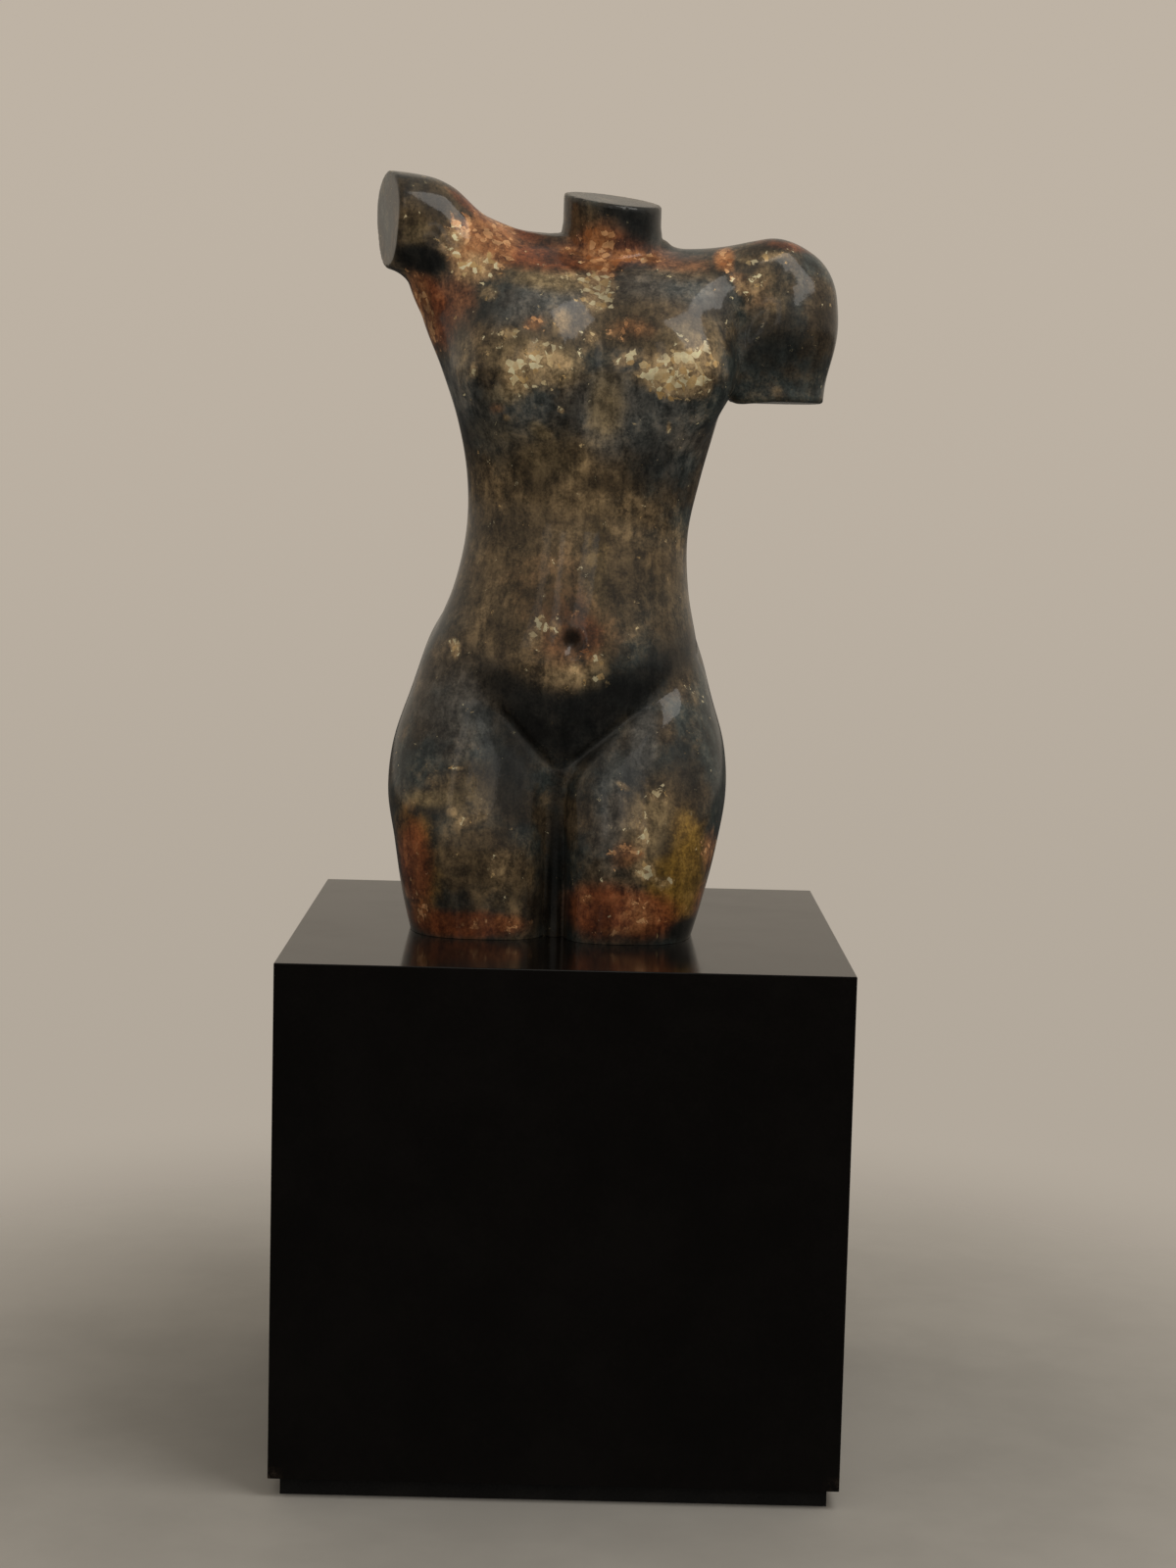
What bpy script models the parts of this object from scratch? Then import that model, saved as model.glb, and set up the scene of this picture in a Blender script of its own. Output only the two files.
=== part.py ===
"""Torso sculpture on its plinth.

A headless female torso, cast in resin, stands on a black cube plinth: a hollow box, open
below, on a recessed base frame. Metres, +Z up, front towards -Y. The origin is the middle
of the plinth's underside.
"""
import bmesh
import bpy
import numpy as np
from mathutils import Vector

# Plinth
PLINTH_WIDTH = 0.600
PLINTH_DEPTH = 0.600
PLINTH_HEIGHT = 0.5685
PANEL_THICKNESS = 0.018
PLINTH_ARRIS = 0.001
BASE_HEIGHT = 0.020
BASE_INSET = 0.012
BASE_RAIL_WIDTH = 0.060
TOUCH_GAP = 0.0003

# Place and size of the torso
TORSO_HEIGHT = 0.834
TORSO_X = -0.017
TORSO_Y = 0.0

# Fineness of the torso's solid
LATTICE_STEP = 0.005
TORSO_TRIANGLES = 8600
PROJECTION_STEPS = 4
GRADIENT_STEP = 0.0005
LEAST_STEEPNESS = 0.25
JUST_INSIDE = 1e-6

# The torso's forms are written at this height and keep their proportions at any other.
# There x runs from the line between the thighs, y from the middle of the body, z from
# the underside.
DRAWN_HEIGHT = 0.834

# Sections of the trunk and thighs, from below: height, left edge, right edge, middle
# depth, reach to the front, reach to the back, squareness (2 is an ellipse)
TRUNK = (
    (-0.030, -0.095, 0.100, -0.020, 0.050, 0.048, 2.3),
    (0.100, -0.130, 0.135, -0.014, 0.072, 0.074, 2.3),
    (0.190, -0.155, 0.160, -0.005, 0.093, 0.085, 2.3),
    (0.260, -0.153, 0.160, -0.005, 0.106, 0.088, 2.3),
    (0.320, -0.142, 0.154, -0.005, 0.107, 0.084, 2.3),
    (0.380, -0.119, 0.143, -0.004, 0.096, 0.079, 2.2),
    (0.445, -0.106, 0.141, -0.002, 0.086, 0.075, 2.2),
    (0.505, -0.107, 0.153, 0.000, 0.089, 0.080, 2.2),
    (0.565, -0.119, 0.169, 0.004, 0.098, 0.086, 2.2),
    (0.620, -0.138, 0.183, 0.010, 0.105, 0.088, 2.2),
    (0.675, -0.160, 0.196, 0.016, 0.100, 0.082, 2.2),
    (0.712, -0.167, 0.200, 0.021, 0.082, 0.068, 2.1),
    (0.742, -0.130, 0.176, 0.024, 0.048, 0.042, 2.0),
    (0.754, -0.060, 0.095, 0.026, 0.026, 0.024, 2.0),
)
LEFT_THIGH = (
    (-0.030, -0.151, -0.007, -0.036, 0.086, 0.086, 2.5),
    (0.040, -0.168, -0.007, -0.036, 0.092, 0.092, 2.5),
    (0.100, -0.178, -0.006, -0.033, 0.096, 0.097, 2.5),
    (0.150, -0.186, -0.004, -0.030, 0.092, 0.098, 2.4),
    (0.200, -0.182, 0.004, -0.024, 0.085, 0.096, 2.3),
    (0.260, -0.164, 0.014, -0.014, 0.086, 0.090, 2.2),
    (0.320, -0.144, 0.018, -0.006, 0.080, 0.080, 2.2),
    (0.400, -0.105, 0.020, -0.002, 0.066, 0.070, 2.2),
)
RIGHT_THIGH = (
    (-0.030, 0.011, 0.146, -0.044, 0.092, 0.092, 2.5),
    (0.040, 0.011, 0.166, -0.044, 0.098, 0.097, 2.5),
    (0.100, 0.010, 0.180, -0.041, 0.102, 0.101, 2.5),
    (0.160, 0.006, 0.189, -0.036, 0.096, 0.102, 2.4),
    (0.210, -0.002, 0.185, -0.028, 0.089, 0.098, 2.3),
    (0.260, -0.010, 0.171, -0.016, 0.088, 0.092, 2.2),
    (0.320, -0.012, 0.156, -0.006, 0.082, 0.080, 2.2),
    (0.400, -0.012, 0.136, -0.002, 0.066, 0.070, 2.2),
)
THIGH_INNER_SQUARENESS = 3.6

# Web between the thighs: a flat wall set back, with a rounded bar down its middle
WEB_WALL = (
    (-0.030, -0.024, 0.028, -0.020, 0.066, 0.050, 6.0),
    (0.080, -0.024, 0.028, -0.018, 0.072, 0.050, 6.0),
    (0.170, -0.024, 0.028, -0.012, 0.074, 0.050, 6.0),
    (0.250, -0.024, 0.028, -0.005, 0.060, 0.050, 6.0),
)
WEB_BAR = ((0.002, -0.088, -0.030), (0.003, -0.087, 0.180), 0.0085, 0.0075)

# Groin lines, seen from the front: where each starts beside the web and where it ends
LEFT_GROIN = ((-0.004, 0.186), (-0.062, 0.250))
RIGHT_GROIN = ((0.012, 0.187), (0.094, 0.256))
GROIN_WIDTH = 0.005
GROIN_DEPTH = 0.004

# Seat: middle and reach of each side
SEAT = (
    ((-0.078, 0.034, 0.165), (0.080, 0.078, 0.105)),
    ((0.082, 0.030, 0.172), (0.080, 0.080, 0.105)),
)

# Shoulders, arms and neck as round limbs: start, end, radius at the start and at the end
YOKES = (
    ((-0.091, 0.022, 0.727), (-0.030, 0.024, 0.7205), 0.054, 0.0425),
    ((-0.030, 0.024, 0.7205), (0.194, 0.018, 0.713), 0.0425, 0.0425),
)
LEFT_PECTORAL = ((-0.020, -0.035, 0.680), (-0.125, -0.010, 0.738), 0.036, 0.034)
RIGHT_PECTORAL = ((0.090, -0.035, 0.675), (0.230, -0.014, 0.730), 0.036, 0.0375)
RAISED_ARM = ((-0.151, 0.006, 0.7655), (-0.250, -0.002, 0.7885), 0.048, 0.048)
HANGING_ARM = ((0.2385, 0.008, 0.706), (0.2335, 0.000, 0.560), 0.058, 0.051)
NECK = ((0.048, 0.032, 0.700), (0.048, 0.006, 0.860), 0.055, 0.054)
RAISED_SQUARENESS = 2.2
HANGING_SQUARENESS = 2.5
RAISED_SHOULDER = ((-0.197, 0.004, 0.793), (0.0845, 0.055, 0.0415))
HANGING_SHOULDER = ((0.236, 0.005, 0.6725), (0.056, 0.060, 0.055))

# Breasts: middle and reach
BREASTS = (
    ((-0.043, -0.070, 0.618), (0.066, 0.044, 0.062)),
    ((0.115, -0.070, 0.618), (0.066, 0.044, 0.062)),
)

# Flat ends: a point on each and the way it faces
NECK_CUT = ((0.046, 0.010, 0.809), (0.1105, -0.190, 0.977))
RAISED_CUT = ((-0.2005, 0.005, 0.775), (-0.955, -0.296, 0.0))
HANGING_CUT = ((0.235, 0.0, 0.5905), (0.0, 0.0, -1.0))

# Navel, belly line and spine
NAVEL = (0.014, 0.323)
NAVEL_REACH = (0.008, 0.010)
NAVEL_DEPTH = 0.009
BELLY_LINE = ((0.016, 0.345), (0.040, 0.600))
SPINE_LINE = ((0.010, 0.260), (0.040, 0.720))

# How far the forms run into each other where they meet
BLEND = {
    "groin": 0.035,
    "web": 0.004,
    "bar": 0.003,
    "hips": 0.012,
    "seat": 0.060,
    "seat_sides": 0.010,
    "yoke": 0.040,
    "yoke_halves": 0.020,
    "pectoral": 0.045,
    "raised_arm": 0.028,
    "raised_shoulder": 0.012,
    "hanging_shoulder": 0.030,
    "hanging_arm": 0.012,
    "breast": 0.045,
    "neck": 0.016,
}
RIM_RADIUS = 0.003
NECK_FOLD_DEPTH = 0.002
NECK_FOLD_WIDTH = 0.005
BELLY_LINE_DEPTH = 0.002
SPINE_DEPTH = 0.008
LINE_WIDTH = 0.016
LINE_END_SHARE = 0.2
LINE_END_DEPTH = 0.35
SIDE_FADE = 0.030
GROIN_LIFT = 0.8
GROIN_LIFT_START = -0.020


def ease(t):
    """Go from 0 to 1 with level ends."""
    t = np.clip(t, 0.0, 1.0)
    return t * t * (3.0 - 2.0 * t)


def bump(t):
    """Bell curve, 1 in its middle."""
    return np.exp(-t * t)


def curve_through(heights, values, z):
    """Smooth curve through one column of a table of sections."""
    slope = np.gradient(values, heights)
    i = np.clip(np.searchsorted(heights, z) - 1, 0, len(heights) - 2)
    step = heights[i + 1] - heights[i]
    t = np.clip((z - heights[i]) / step, 0.0, 1.0)
    s = 1.0 - t
    ends = s * s * (1.0 + 2.0 * t) * values[i] + t * t * (3.0 - 2.0 * t) * values[i + 1]
    return ends + step * s * t * (s * slope[i] - t * slope[i + 1])


def loft(p, sections, inner_side=0, inner_squareness=2.0):
    """Distance to a body of squared ellipses stacked through the sections.

    The front of the side named by inner_side, -1 or 1, may be squarer than the rest.
    """
    x, y, z = p
    table = np.array(sections)
    heights = table[:, 0]
    left, right, middle, front, back, square = (
        curve_through(heights, table[:, column], z) for column in range(1, 7)
    )
    dx = x - 0.5 * (left + right)
    dy = y - middle
    square = np.where((dx * inner_side > 0.0) & (dy < 0.0), inner_squareness, square)
    across = np.abs(dx) / (0.5 * (right - left))
    deep = np.abs(dy) / np.where(dy < 0.0, front, back)
    share = (across ** square + deep ** square) ** (1.0 / square)
    to_skin = (np.hypot(dx, dy) + 1e-4) / (share + 1e-3)
    past_ends = np.maximum(heights[0] - z, z - heights[-1])
    return np.maximum((share - 1.0) * to_skin, past_ends)


def limb(p, start, end, start_radius, end_radius, squareness=2.0):
    """Distance to a round-ended limb whose radius eases from one end to the other."""
    start = Vector(start)
    axis = Vector(end) - start
    length = axis.length
    axis.normalize()
    deep = (Vector((0.0, 1.0, 0.0)) - axis * axis.y).normalized()
    side = axis.cross(deep)
    offset = [p[i] - start[i] for i in range(3)]
    along, a, b = (
        sum(offset[i] * direction[i] for i in range(3)) for direction in (axis, deep, side)
    )
    t = np.clip(along / length, 0.0, 1.0)
    radius = start_radius + (end_radius - start_radius) * ease(t)
    ring = (np.abs(a) ** squareness + np.abs(b) ** squareness) ** (1.0 / squareness)
    return np.hypot(ring, along - t * length) - radius


def ball(p, middle, reach):
    """Distance to an ellipsoid, true near its skin."""
    share = np.sqrt(sum(((p[i] - middle[i]) / reach[i]) ** 2 for i in range(3)))
    return (share - 1.0) * min(reach)


def plane(p, flat_end):
    """Distance past a flat end, positive on its outer side."""
    point, facing = flat_end
    facing = Vector(facing).normalized()
    return sum((p[i] - point[i]) * facing[i] for i in range(3))


def join(a, b, blend):
    """Join two bodies with a soft hollow between them."""
    near = np.maximum(blend - np.abs(a - b), 0.0) / blend
    return np.minimum(a, b) - near * near * blend * 0.25


def trim(a, b, blend):
    """Keep what lies in both bodies, with a soft edge."""
    return -join(-a, -b, blend)


def flat_end(body, past):
    """Cut a body off flat, its rim rounded to RIM_RADIUS."""
    rim = np.hypot(np.maximum(body + RIM_RADIUS, 0.0), np.maximum(past + RIM_RADIUS, 0.0))
    return np.minimum(-RIM_RADIUS, np.maximum(body, past)) + rim


def furrow(p, line, width, depth):
    """Depth of a soft furrow along a line seen from the front, shallower at its ends."""
    x, _, z = p
    (ax, az), (bx, bz) = line
    length = np.hypot(bx - ax, bz - az)
    ux, uz = (bx - ax) / length, (bz - az) / length
    t = np.clip(((x - ax) * ux + (z - az) * uz) / length, 0.0, 1.0)
    off = np.hypot(x - ax - ux * t * length, z - az - uz * t * length)
    fade = np.minimum(1.0, np.minimum(t, 1.0 - t) / LINE_END_SHARE + LINE_END_DEPTH)
    return depth * bump(off / width) * fade


def above_groin(p, line):
    """Distance past the plane through a groin line, which climbs towards the back."""
    (ax, az), (bx, bz) = line
    side = np.sign(bx - ax)
    point = (ax, 0.0, az)
    facing = (-side * (bz - az), 0.0, side * (bx - ax))
    climb = GROIN_LIFT * np.maximum(p[1] - GROIN_LIFT_START, 0.0)
    return plane(p, (point, facing)) - climb


def legs(p):
    """Distance to the thighs and the web between them."""
    left = loft(p, LEFT_THIGH, 1, THIGH_INNER_SQUARENESS)
    left = trim(left, above_groin(p, LEFT_GROIN), BLEND["groin"])
    right = loft(p, RIGHT_THIGH, -1, THIGH_INNER_SQUARENESS)
    right = trim(right, above_groin(p, RIGHT_GROIN), BLEND["groin"])
    web = join(loft(p, WEB_WALL), limb(p, *WEB_BAR), BLEND["bar"])
    return join(join(left, right, BLEND["web"]), web, BLEND["web"])


def torso_distance(p):
    """Distance to the whole torso but for its flat underside, negative inside it."""
    x, y, z = p
    body = join(loft(p, TRUNK), legs(p), BLEND["hips"])
    seat = join(ball(p, *SEAT[0]), ball(p, *SEAT[1]), BLEND["seat_sides"])
    body = join(body, seat, BLEND["seat"])
    yoke = join(limb(p, *YOKES[0]), limb(p, *YOKES[1]), BLEND["yoke_halves"])
    body = join(body, yoke, BLEND["yoke"])
    for pectoral in (LEFT_PECTORAL, RIGHT_PECTORAL):
        body = join(body, limb(p, *pectoral), BLEND["pectoral"])
    raised = limb(p, *RAISED_ARM, RAISED_SQUARENESS)
    raised = join(raised, ball(p, *RAISED_SHOULDER), BLEND["raised_shoulder"])
    raised = flat_end(raised, plane(p, RAISED_CUT))
    body = join(body, raised, BLEND["raised_arm"])
    hanging = limb(p, *HANGING_ARM, HANGING_SQUARENESS)
    hanging = join(hanging, ball(p, *HANGING_SHOULDER), BLEND["hanging_shoulder"])
    hanging = flat_end(hanging, plane(p, HANGING_CUT))
    body = join(body, hanging, BLEND["hanging_arm"])
    for breast in BREASTS:
        body = join(body, ball(p, *breast), BLEND["breast"])
    neck = limb(p, *NECK)
    fold = NECK_FOLD_DEPTH * bump((body - neck) / NECK_FOLD_WIDTH)
    body = flat_end(join(body, neck, BLEND["neck"]) + fold, plane(p, NECK_CUT))
    front = ease(-y / SIDE_FADE)
    back = ease(y / SIDE_FADE)
    navel_x = (x - NAVEL[0]) / NAVEL_REACH[0]
    navel_z = (z - NAVEL[1]) / NAVEL_REACH[1]
    body = body + front * NAVEL_DEPTH * bump(np.hypot(navel_x, navel_z))
    for line in (LEFT_GROIN, RIGHT_GROIN):
        body = body + front * furrow(p, line, GROIN_WIDTH, GROIN_DEPTH)
    body = body + front * furrow(p, BELLY_LINE, LINE_WIDTH, BELLY_LINE_DEPTH)
    return body + back * furrow(p, SPINE_LINE, LINE_WIDTH, SPINE_DEPTH)


def skin_of(distance, low, high, step):
    """Points and four-sided faces of the surface where a distance is zero.

    One point lies in each lattice cell that the surface crosses, at the mean of the
    crossings of its edges, and is then moved along the slope onto the surface. Each
    lattice edge that the surface crosses carries one face.
    """
    axes = [np.arange(low[i], high[i] + step, step) for i in range(3)]
    values = close_diagonals(distance(np.meshgrid(*axes, indexing="ij")))
    inside = values < 0.0
    corners = np.array(np.meshgrid((0, 1), (0, 1), (0, 1), indexing="ij")).reshape(3, 8).T
    cells = tuple(n - 1 for n in inside.shape)
    count = np.zeros(cells, dtype=int)
    for i, j, k in corners:
        count += inside[i:i + cells[0], j:j + cells[1], k:k + cells[2]]
    crossed = (count > 0) & (count < 8)
    index = np.full(cells, -1)
    index[crossed] = np.arange(crossed.sum())
    corner_cells = np.argwhere(crossed)[:, None, :] + corners[None, :, :]
    value = values[tuple(np.moveaxis(corner_cells, 2, 0))]
    places = np.array([axis[0] for axis in axes]) + corner_cells * step
    total = np.zeros((len(places), 3))
    crossings = np.zeros((len(places), 1))
    for a in range(8):
        for b in range(a + 1, 8):
            if np.abs(corners[a] - corners[b]).sum() != 1:
                continue
            crossing = (value[:, a] < 0.0) != (value[:, b] < 0.0)
            fall = np.where(crossing, value[:, a] - value[:, b], 1.0)
            t = np.where(crossing, value[:, a] / fall, 0.0)[:, None]
            point = places[:, a] * (1.0 - t) + places[:, b] * t
            total += point * crossing[:, None]
            crossings += crossing[:, None]
    points = onto_surface(distance, total / crossings)
    faces = []
    for axis in range(3):
        u, v = (axis + 1) % 3, (axis + 2) % 3
        here = np.moveaxis(inside, (axis, u, v), (0, 1, 2))
        cell = np.moveaxis(index, (axis, u, v), (0, 1, 2))
        change = here[:-1, 1:-1, 1:-1] != here[1:, 1:-1, 1:-1]
        leaving = here[:-1, 1:-1, 1:-1][change]
        quads = np.stack([
            cell[:, :-1, :-1][change],
            cell[:, 1:, :-1][change],
            cell[:, 1:, 1:][change],
            cell[:, :-1, 1:][change],
        ], axis=1)
        faces.append(np.where(leaving[:, None], quads, quads[:, ::-1]))
    return points, np.concatenate(faces)


def close_diagonals(values):
    """Fill each lattice square whose inside corners are only the two across from each other.

    Without this, two sheets of the surface would meet in one edge there.
    """
    for _ in range(3):
        for axis in range(3):
            face = np.moveaxis(values, axis, 2)
            corners = [face[:-1, :-1], face[1:, 1:], face[1:, :-1], face[:-1, 1:]]
            a, b, c, d = (corner < 0.0 for corner in corners)
            diagonal = (a == b) & (c == d) & (a != c)
            for corner in corners:
                corner[diagonal] = np.minimum(corner[diagonal], -JUST_INSIDE)
    return values


def onto_surface(distance, points):
    """Move points along the slope of the distance until they lie on its surface."""
    for _ in range(PROJECTION_STEPS):
        value = distance(points.T)
        slope = np.empty_like(points)
        for i in range(3):
            shift = np.zeros(3)
            shift[i] = GRADIENT_STEP
            ahead = distance((points + shift).T)
            slope[:, i] = (ahead - distance((points - shift).T)) / (2.0 * GRADIENT_STEP)
        steep = np.maximum((slope ** 2).sum(axis=1), LEAST_STEEPNESS)
        points = points - slope * (value / steep)[:, None]
    return points


def material(name, colour, roughness, metallic=0.0, coat=0.0):
    """Principled material of one plain colour."""
    finish = bpy.data.materials.new(name)
    finish.use_nodes = True
    shader = finish.node_tree.nodes["Principled BSDF"]
    shader.inputs["Base Color"].default_value = (*colour, 1.0)
    shader.inputs["Roughness"].default_value = roughness
    shader.inputs["Metallic"].default_value = metallic
    shader.inputs["Coat Weight"].default_value = coat
    return finish


def add_object(name, mesh, finish=None):
    """Link a new object with its own material."""
    body = bpy.data.objects.new(name, mesh)
    bpy.context.scene.collection.objects.link(body)
    if finish is not None:
        mesh.materials.append(finish)
    return body


def add_block(name, width, depth, height, finish=None):
    """Block centred on its origin in plan, standing on it."""
    bm = bmesh.new()
    bmesh.ops.create_cube(bm, size=1.0)
    bmesh.ops.scale(bm, vec=(width, depth, height), verts=bm.verts)
    bmesh.ops.translate(bm, vec=(0.0, 0.0, 0.5 * height), verts=bm.verts)
    mesh = bpy.data.meshes.new(name)
    bm.to_mesh(mesh)
    bm.free()
    return add_object(name, mesh, finish)


def hollow_out(body, cutter):
    """Cut one block away from a body and keep the cutter out of sight."""
    cutter.parent = body
    cutter.hide_render = True
    cutter.display_type = "WIRE"
    cut = body.modifiers.new("Cut " + cutter.name, "BOOLEAN")
    cut.operation = "DIFFERENCE"
    cut.solver = "EXACT"
    cut.object = cutter


def add_plinth():
    """Hollow box, open below, with a fine arris on its outer edges."""
    height = PLINTH_HEIGHT - BASE_HEIGHT - TOUCH_GAP
    finish = material("black_gloss", (0.012, 0.010, 0.009), 0.12, coat=1.0)
    box = add_block("plinth_box", PLINTH_WIDTH, PLINTH_DEPTH, height, finish)
    box.location = (0.0, 0.0, BASE_HEIGHT + TOUCH_GAP)
    arris = box.modifiers.new("Arris", "BEVEL")
    arris.width = PLINTH_ARRIS
    arris.segments = 2
    below = PANEL_THICKNESS
    hollow = add_block(
        "plinth_hollow_cutter",
        PLINTH_WIDTH - 2.0 * PANEL_THICKNESS,
        PLINTH_DEPTH - 2.0 * PANEL_THICKNESS,
        height - PANEL_THICKNESS + below,
    )
    hollow.location = (0.0, 0.0, -below)
    hollow_out(box, hollow)
    return box


def add_base():
    """Low open frame under the box, set back from its sides."""
    width = PLINTH_WIDTH - 2.0 * BASE_INSET
    depth = PLINTH_DEPTH - 2.0 * BASE_INSET
    finish = material("base_black", (0.014, 0.012, 0.010), 0.6)
    base = add_block("plinth_base", width, depth, BASE_HEIGHT, finish)
    opening = add_block(
        "base_opening_cutter",
        width - 2.0 * BASE_RAIL_WIDTH,
        depth - 2.0 * BASE_RAIL_WIDTH,
        3.0 * BASE_HEIGHT,
    )
    opening.location = (0.0, 0.0, -BASE_HEIGHT)
    hollow_out(base, opening)
    return base


def add_torso():
    """Cast torso: its skin from the lattice, thinned where it is even, cut flat below."""
    scale = TORSO_HEIGHT / DRAWN_HEIGHT
    table = np.array(TRUNK + LEFT_THIGH + RIGHT_THIGH)
    margin = 4.0 * LATTICE_STEP
    reach = max(RAISED_ARM[2], HANGING_ARM[2]) + margin
    low = (RAISED_CUT[0][0] - reach, (table[:, 3] - table[:, 4]).min() - reach, -reach)
    high = (
        HANGING_ARM[0][0] + HANGING_ARM[2] + margin,
        (table[:, 3] + table[:, 5]).max() + margin,
        NECK_CUT[0][2] + reach,
    )
    points, faces = skin_of(torso_distance, low, high, LATTICE_STEP)
    mesh = bpy.data.meshes.new("torso")
    mesh.from_pydata((points * scale).tolist(), [], faces.tolist())
    mesh.update()
    mesh.shade_smooth()
    finish = material("patinated_resin", (0.10, 0.085, 0.06), 0.25, metallic=0.3, coat=1.0)
    torso = add_object("torso", mesh, finish)
    torso.location = (TORSO_X, TORSO_Y, PLINTH_HEIGHT + TOUCH_GAP)
    thin = torso.modifiers.new("Thin even areas", "DECIMATE")
    thin.ratio = min(1.0, TORSO_TRIANGLES / (2.0 * len(faces)))
    below = add_block("underside_cutter", PLINTH_WIDTH, PLINTH_DEPTH, reach)
    below.location = (0.0, 0.0, -reach)
    hollow_out(torso, below)
    return torso


def main():
    """Clear the scene and build the torso, the plinth and its base."""
    for old in list(bpy.data.objects):
        bpy.data.objects.remove(old, do_unlink=True)
    add_base()
    add_plinth()
    add_torso()


main()
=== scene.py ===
"""Looks of the torso sculpture on its plinth.

The torso's skin is worked out again at a finer step than in the solid, from the same forms,
and gets its layered patina under a clear coat; some of its dabs are painted reflections,
painted light and painted shade, and its flakes carry painted glints. The plinth box and its
base keep their solids and get their finishes here. Metres, +Z up, front towards -Y.
"""
import logging
import math
from dataclasses import dataclass, field
from enum import Enum

import bmesh
import bpy
import numpy as np
from mathutils import Matrix, Vector

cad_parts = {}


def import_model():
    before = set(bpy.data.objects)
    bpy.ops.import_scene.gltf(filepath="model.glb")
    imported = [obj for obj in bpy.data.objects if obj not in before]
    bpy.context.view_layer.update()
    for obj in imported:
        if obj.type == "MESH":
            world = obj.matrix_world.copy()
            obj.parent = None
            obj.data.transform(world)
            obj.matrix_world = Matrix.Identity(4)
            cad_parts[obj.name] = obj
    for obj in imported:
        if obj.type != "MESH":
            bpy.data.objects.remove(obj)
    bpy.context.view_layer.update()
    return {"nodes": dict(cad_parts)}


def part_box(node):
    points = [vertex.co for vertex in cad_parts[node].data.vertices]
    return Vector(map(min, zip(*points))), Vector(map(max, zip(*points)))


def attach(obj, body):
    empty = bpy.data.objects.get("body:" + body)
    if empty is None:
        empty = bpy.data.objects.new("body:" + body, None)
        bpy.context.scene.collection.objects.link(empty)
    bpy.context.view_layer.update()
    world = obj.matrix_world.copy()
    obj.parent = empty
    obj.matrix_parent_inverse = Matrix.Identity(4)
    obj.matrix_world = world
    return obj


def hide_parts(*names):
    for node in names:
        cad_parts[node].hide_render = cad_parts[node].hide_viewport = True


LOG = logging.getLogger("torso_on_plinth")

# Added above and below a loft's division, which has nothing over nothing on its middle line
LEAST_REACH = 1e-4
LEAST_SHARE = 1e-3

# Share of a furrow's depth that its ends have, and share of its length in which the depth
# grows by the whole, up to full depth
FURROW_END = 0.35
FURROW_TAPER = 0.2

Colour = tuple[float, float, float]
Triple = tuple[float, float, float]
Line = tuple[tuple[float, float], tuple[float, float]]
Limb = tuple[Triple, Triple, float, float]
Ball = tuple[Triple, Triple]
Sections = tuple[tuple[float, ...], ...]
Span = tuple[float, float]


class Side(Enum):
    """Which side of the torso a dab of colour lies on."""

    FRONT = "front"
    BACK = "back"


class Grain(Enum):
    """What breaks up the edge and body of a layer of colour."""

    CLOUD = "cloud"
    STREAK = "streak"
    FLAKE = "flake"


@dataclass(frozen=True)
class Pigment:
    """One colour of the patina: its two tones and how raggedly it lies.

    It lies where the attribute named by layer passes start, and fades over edge on either
    side of that.
    """

    layer: str
    deep: Colour
    light: Colour
    grain: Grain
    ragged: float
    edge: float
    opacity: float = 1.0
    metal: float = 0.0
    start: float = 0.5


@dataclass(frozen=True)
class Dab:
    """A soft oval of one pigment, placed in figure coordinates.

    turn is in degrees, anticlockwise as seen from the front. The back's dabs are written
    this way, and the front's are worked out from a FrontDab.
    """

    pigment: str
    x: float
    z: float
    reach_x: float
    reach_z: float
    strength: float = 1.0
    turn: float = 0.0
    side: Side = Side.BACK


@dataclass(frozen=True)
class FrontDab:
    """A dab on the front as the eye sees it: its middle and reach in pixels of the frame.

    turn is in degrees, anticlockwise as seen from the front.
    """

    pigment: str
    frame_x: float
    frame_y: float
    reach_x: float
    reach_y: float
    strength: float = 1.0
    turn: float = 0.0


def daubs(pigment: str, *rows: tuple[float, ...]) -> tuple[FrontDab, ...]:
    """Make the front dabs of one pigment.

    Args:
        pigment: its name.
        rows: for each dab frame_x, frame_y, reach_x and reach_y in pixels, then its strength
            and turn where they aren't the usual ones.

    Returns:
        The dabs.
    """
    return tuple(FrontDab(pigment, *row) for row in rows)


@dataclass(frozen=True)
class Eye:
    """Where the sculpture is seen from: a place, turns in degrees and a focal length."""

    place: Triple = (0.008, -3.101, 1.071)
    yaw: float = 0.21
    pitch: float = 6.31
    roll: float = 1.41
    focal_px: float = 2821.0
    frame_px: tuple[int, int] = (1200, 1600)

    def axes(self) -> np.ndarray:
        """Work out the frame's own directions from the turns.

        Returns:
            The directions across, up and ahead, one in each row.
        """
        yaw, pitch, roll = (math.radians(a) for a in (self.yaw, self.pitch, self.roll))
        ahead = np.array((
            math.sin(yaw) * math.cos(pitch), math.cos(yaw) * math.cos(pitch), -math.sin(pitch),
        ))
        right = np.array((math.cos(yaw), -math.sin(yaw), 0.0))
        up = np.cross(right, ahead)
        across = right * math.cos(roll) + up * math.sin(roll)
        above = up * math.cos(roll) - right * math.sin(roll)
        return np.array((across, above, ahead))

    def rays(self, frame_x: np.ndarray, frame_y: np.ndarray) -> np.ndarray:
        """Directions from the eye through places in the frame, each reaching one metre ahead.

        A direction is ahead, plus across and minus up times the offset from the frame's
        middle over the focal length.

        Args:
            frame_x: pixels from the frame's left edge.
            frame_y: pixels from its upper edge.

        Returns:
            x, y and z of the directions, one column for each place.
        """
        across, above, ahead = self.axes()
        u = (frame_x - 0.5 * self.frame_px[0]) / self.focal_px
        v = (frame_y - 0.5 * self.frame_px[1]) / self.focal_px
        return ahead[:, None] + across[:, None] * u - above[:, None] * v


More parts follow.
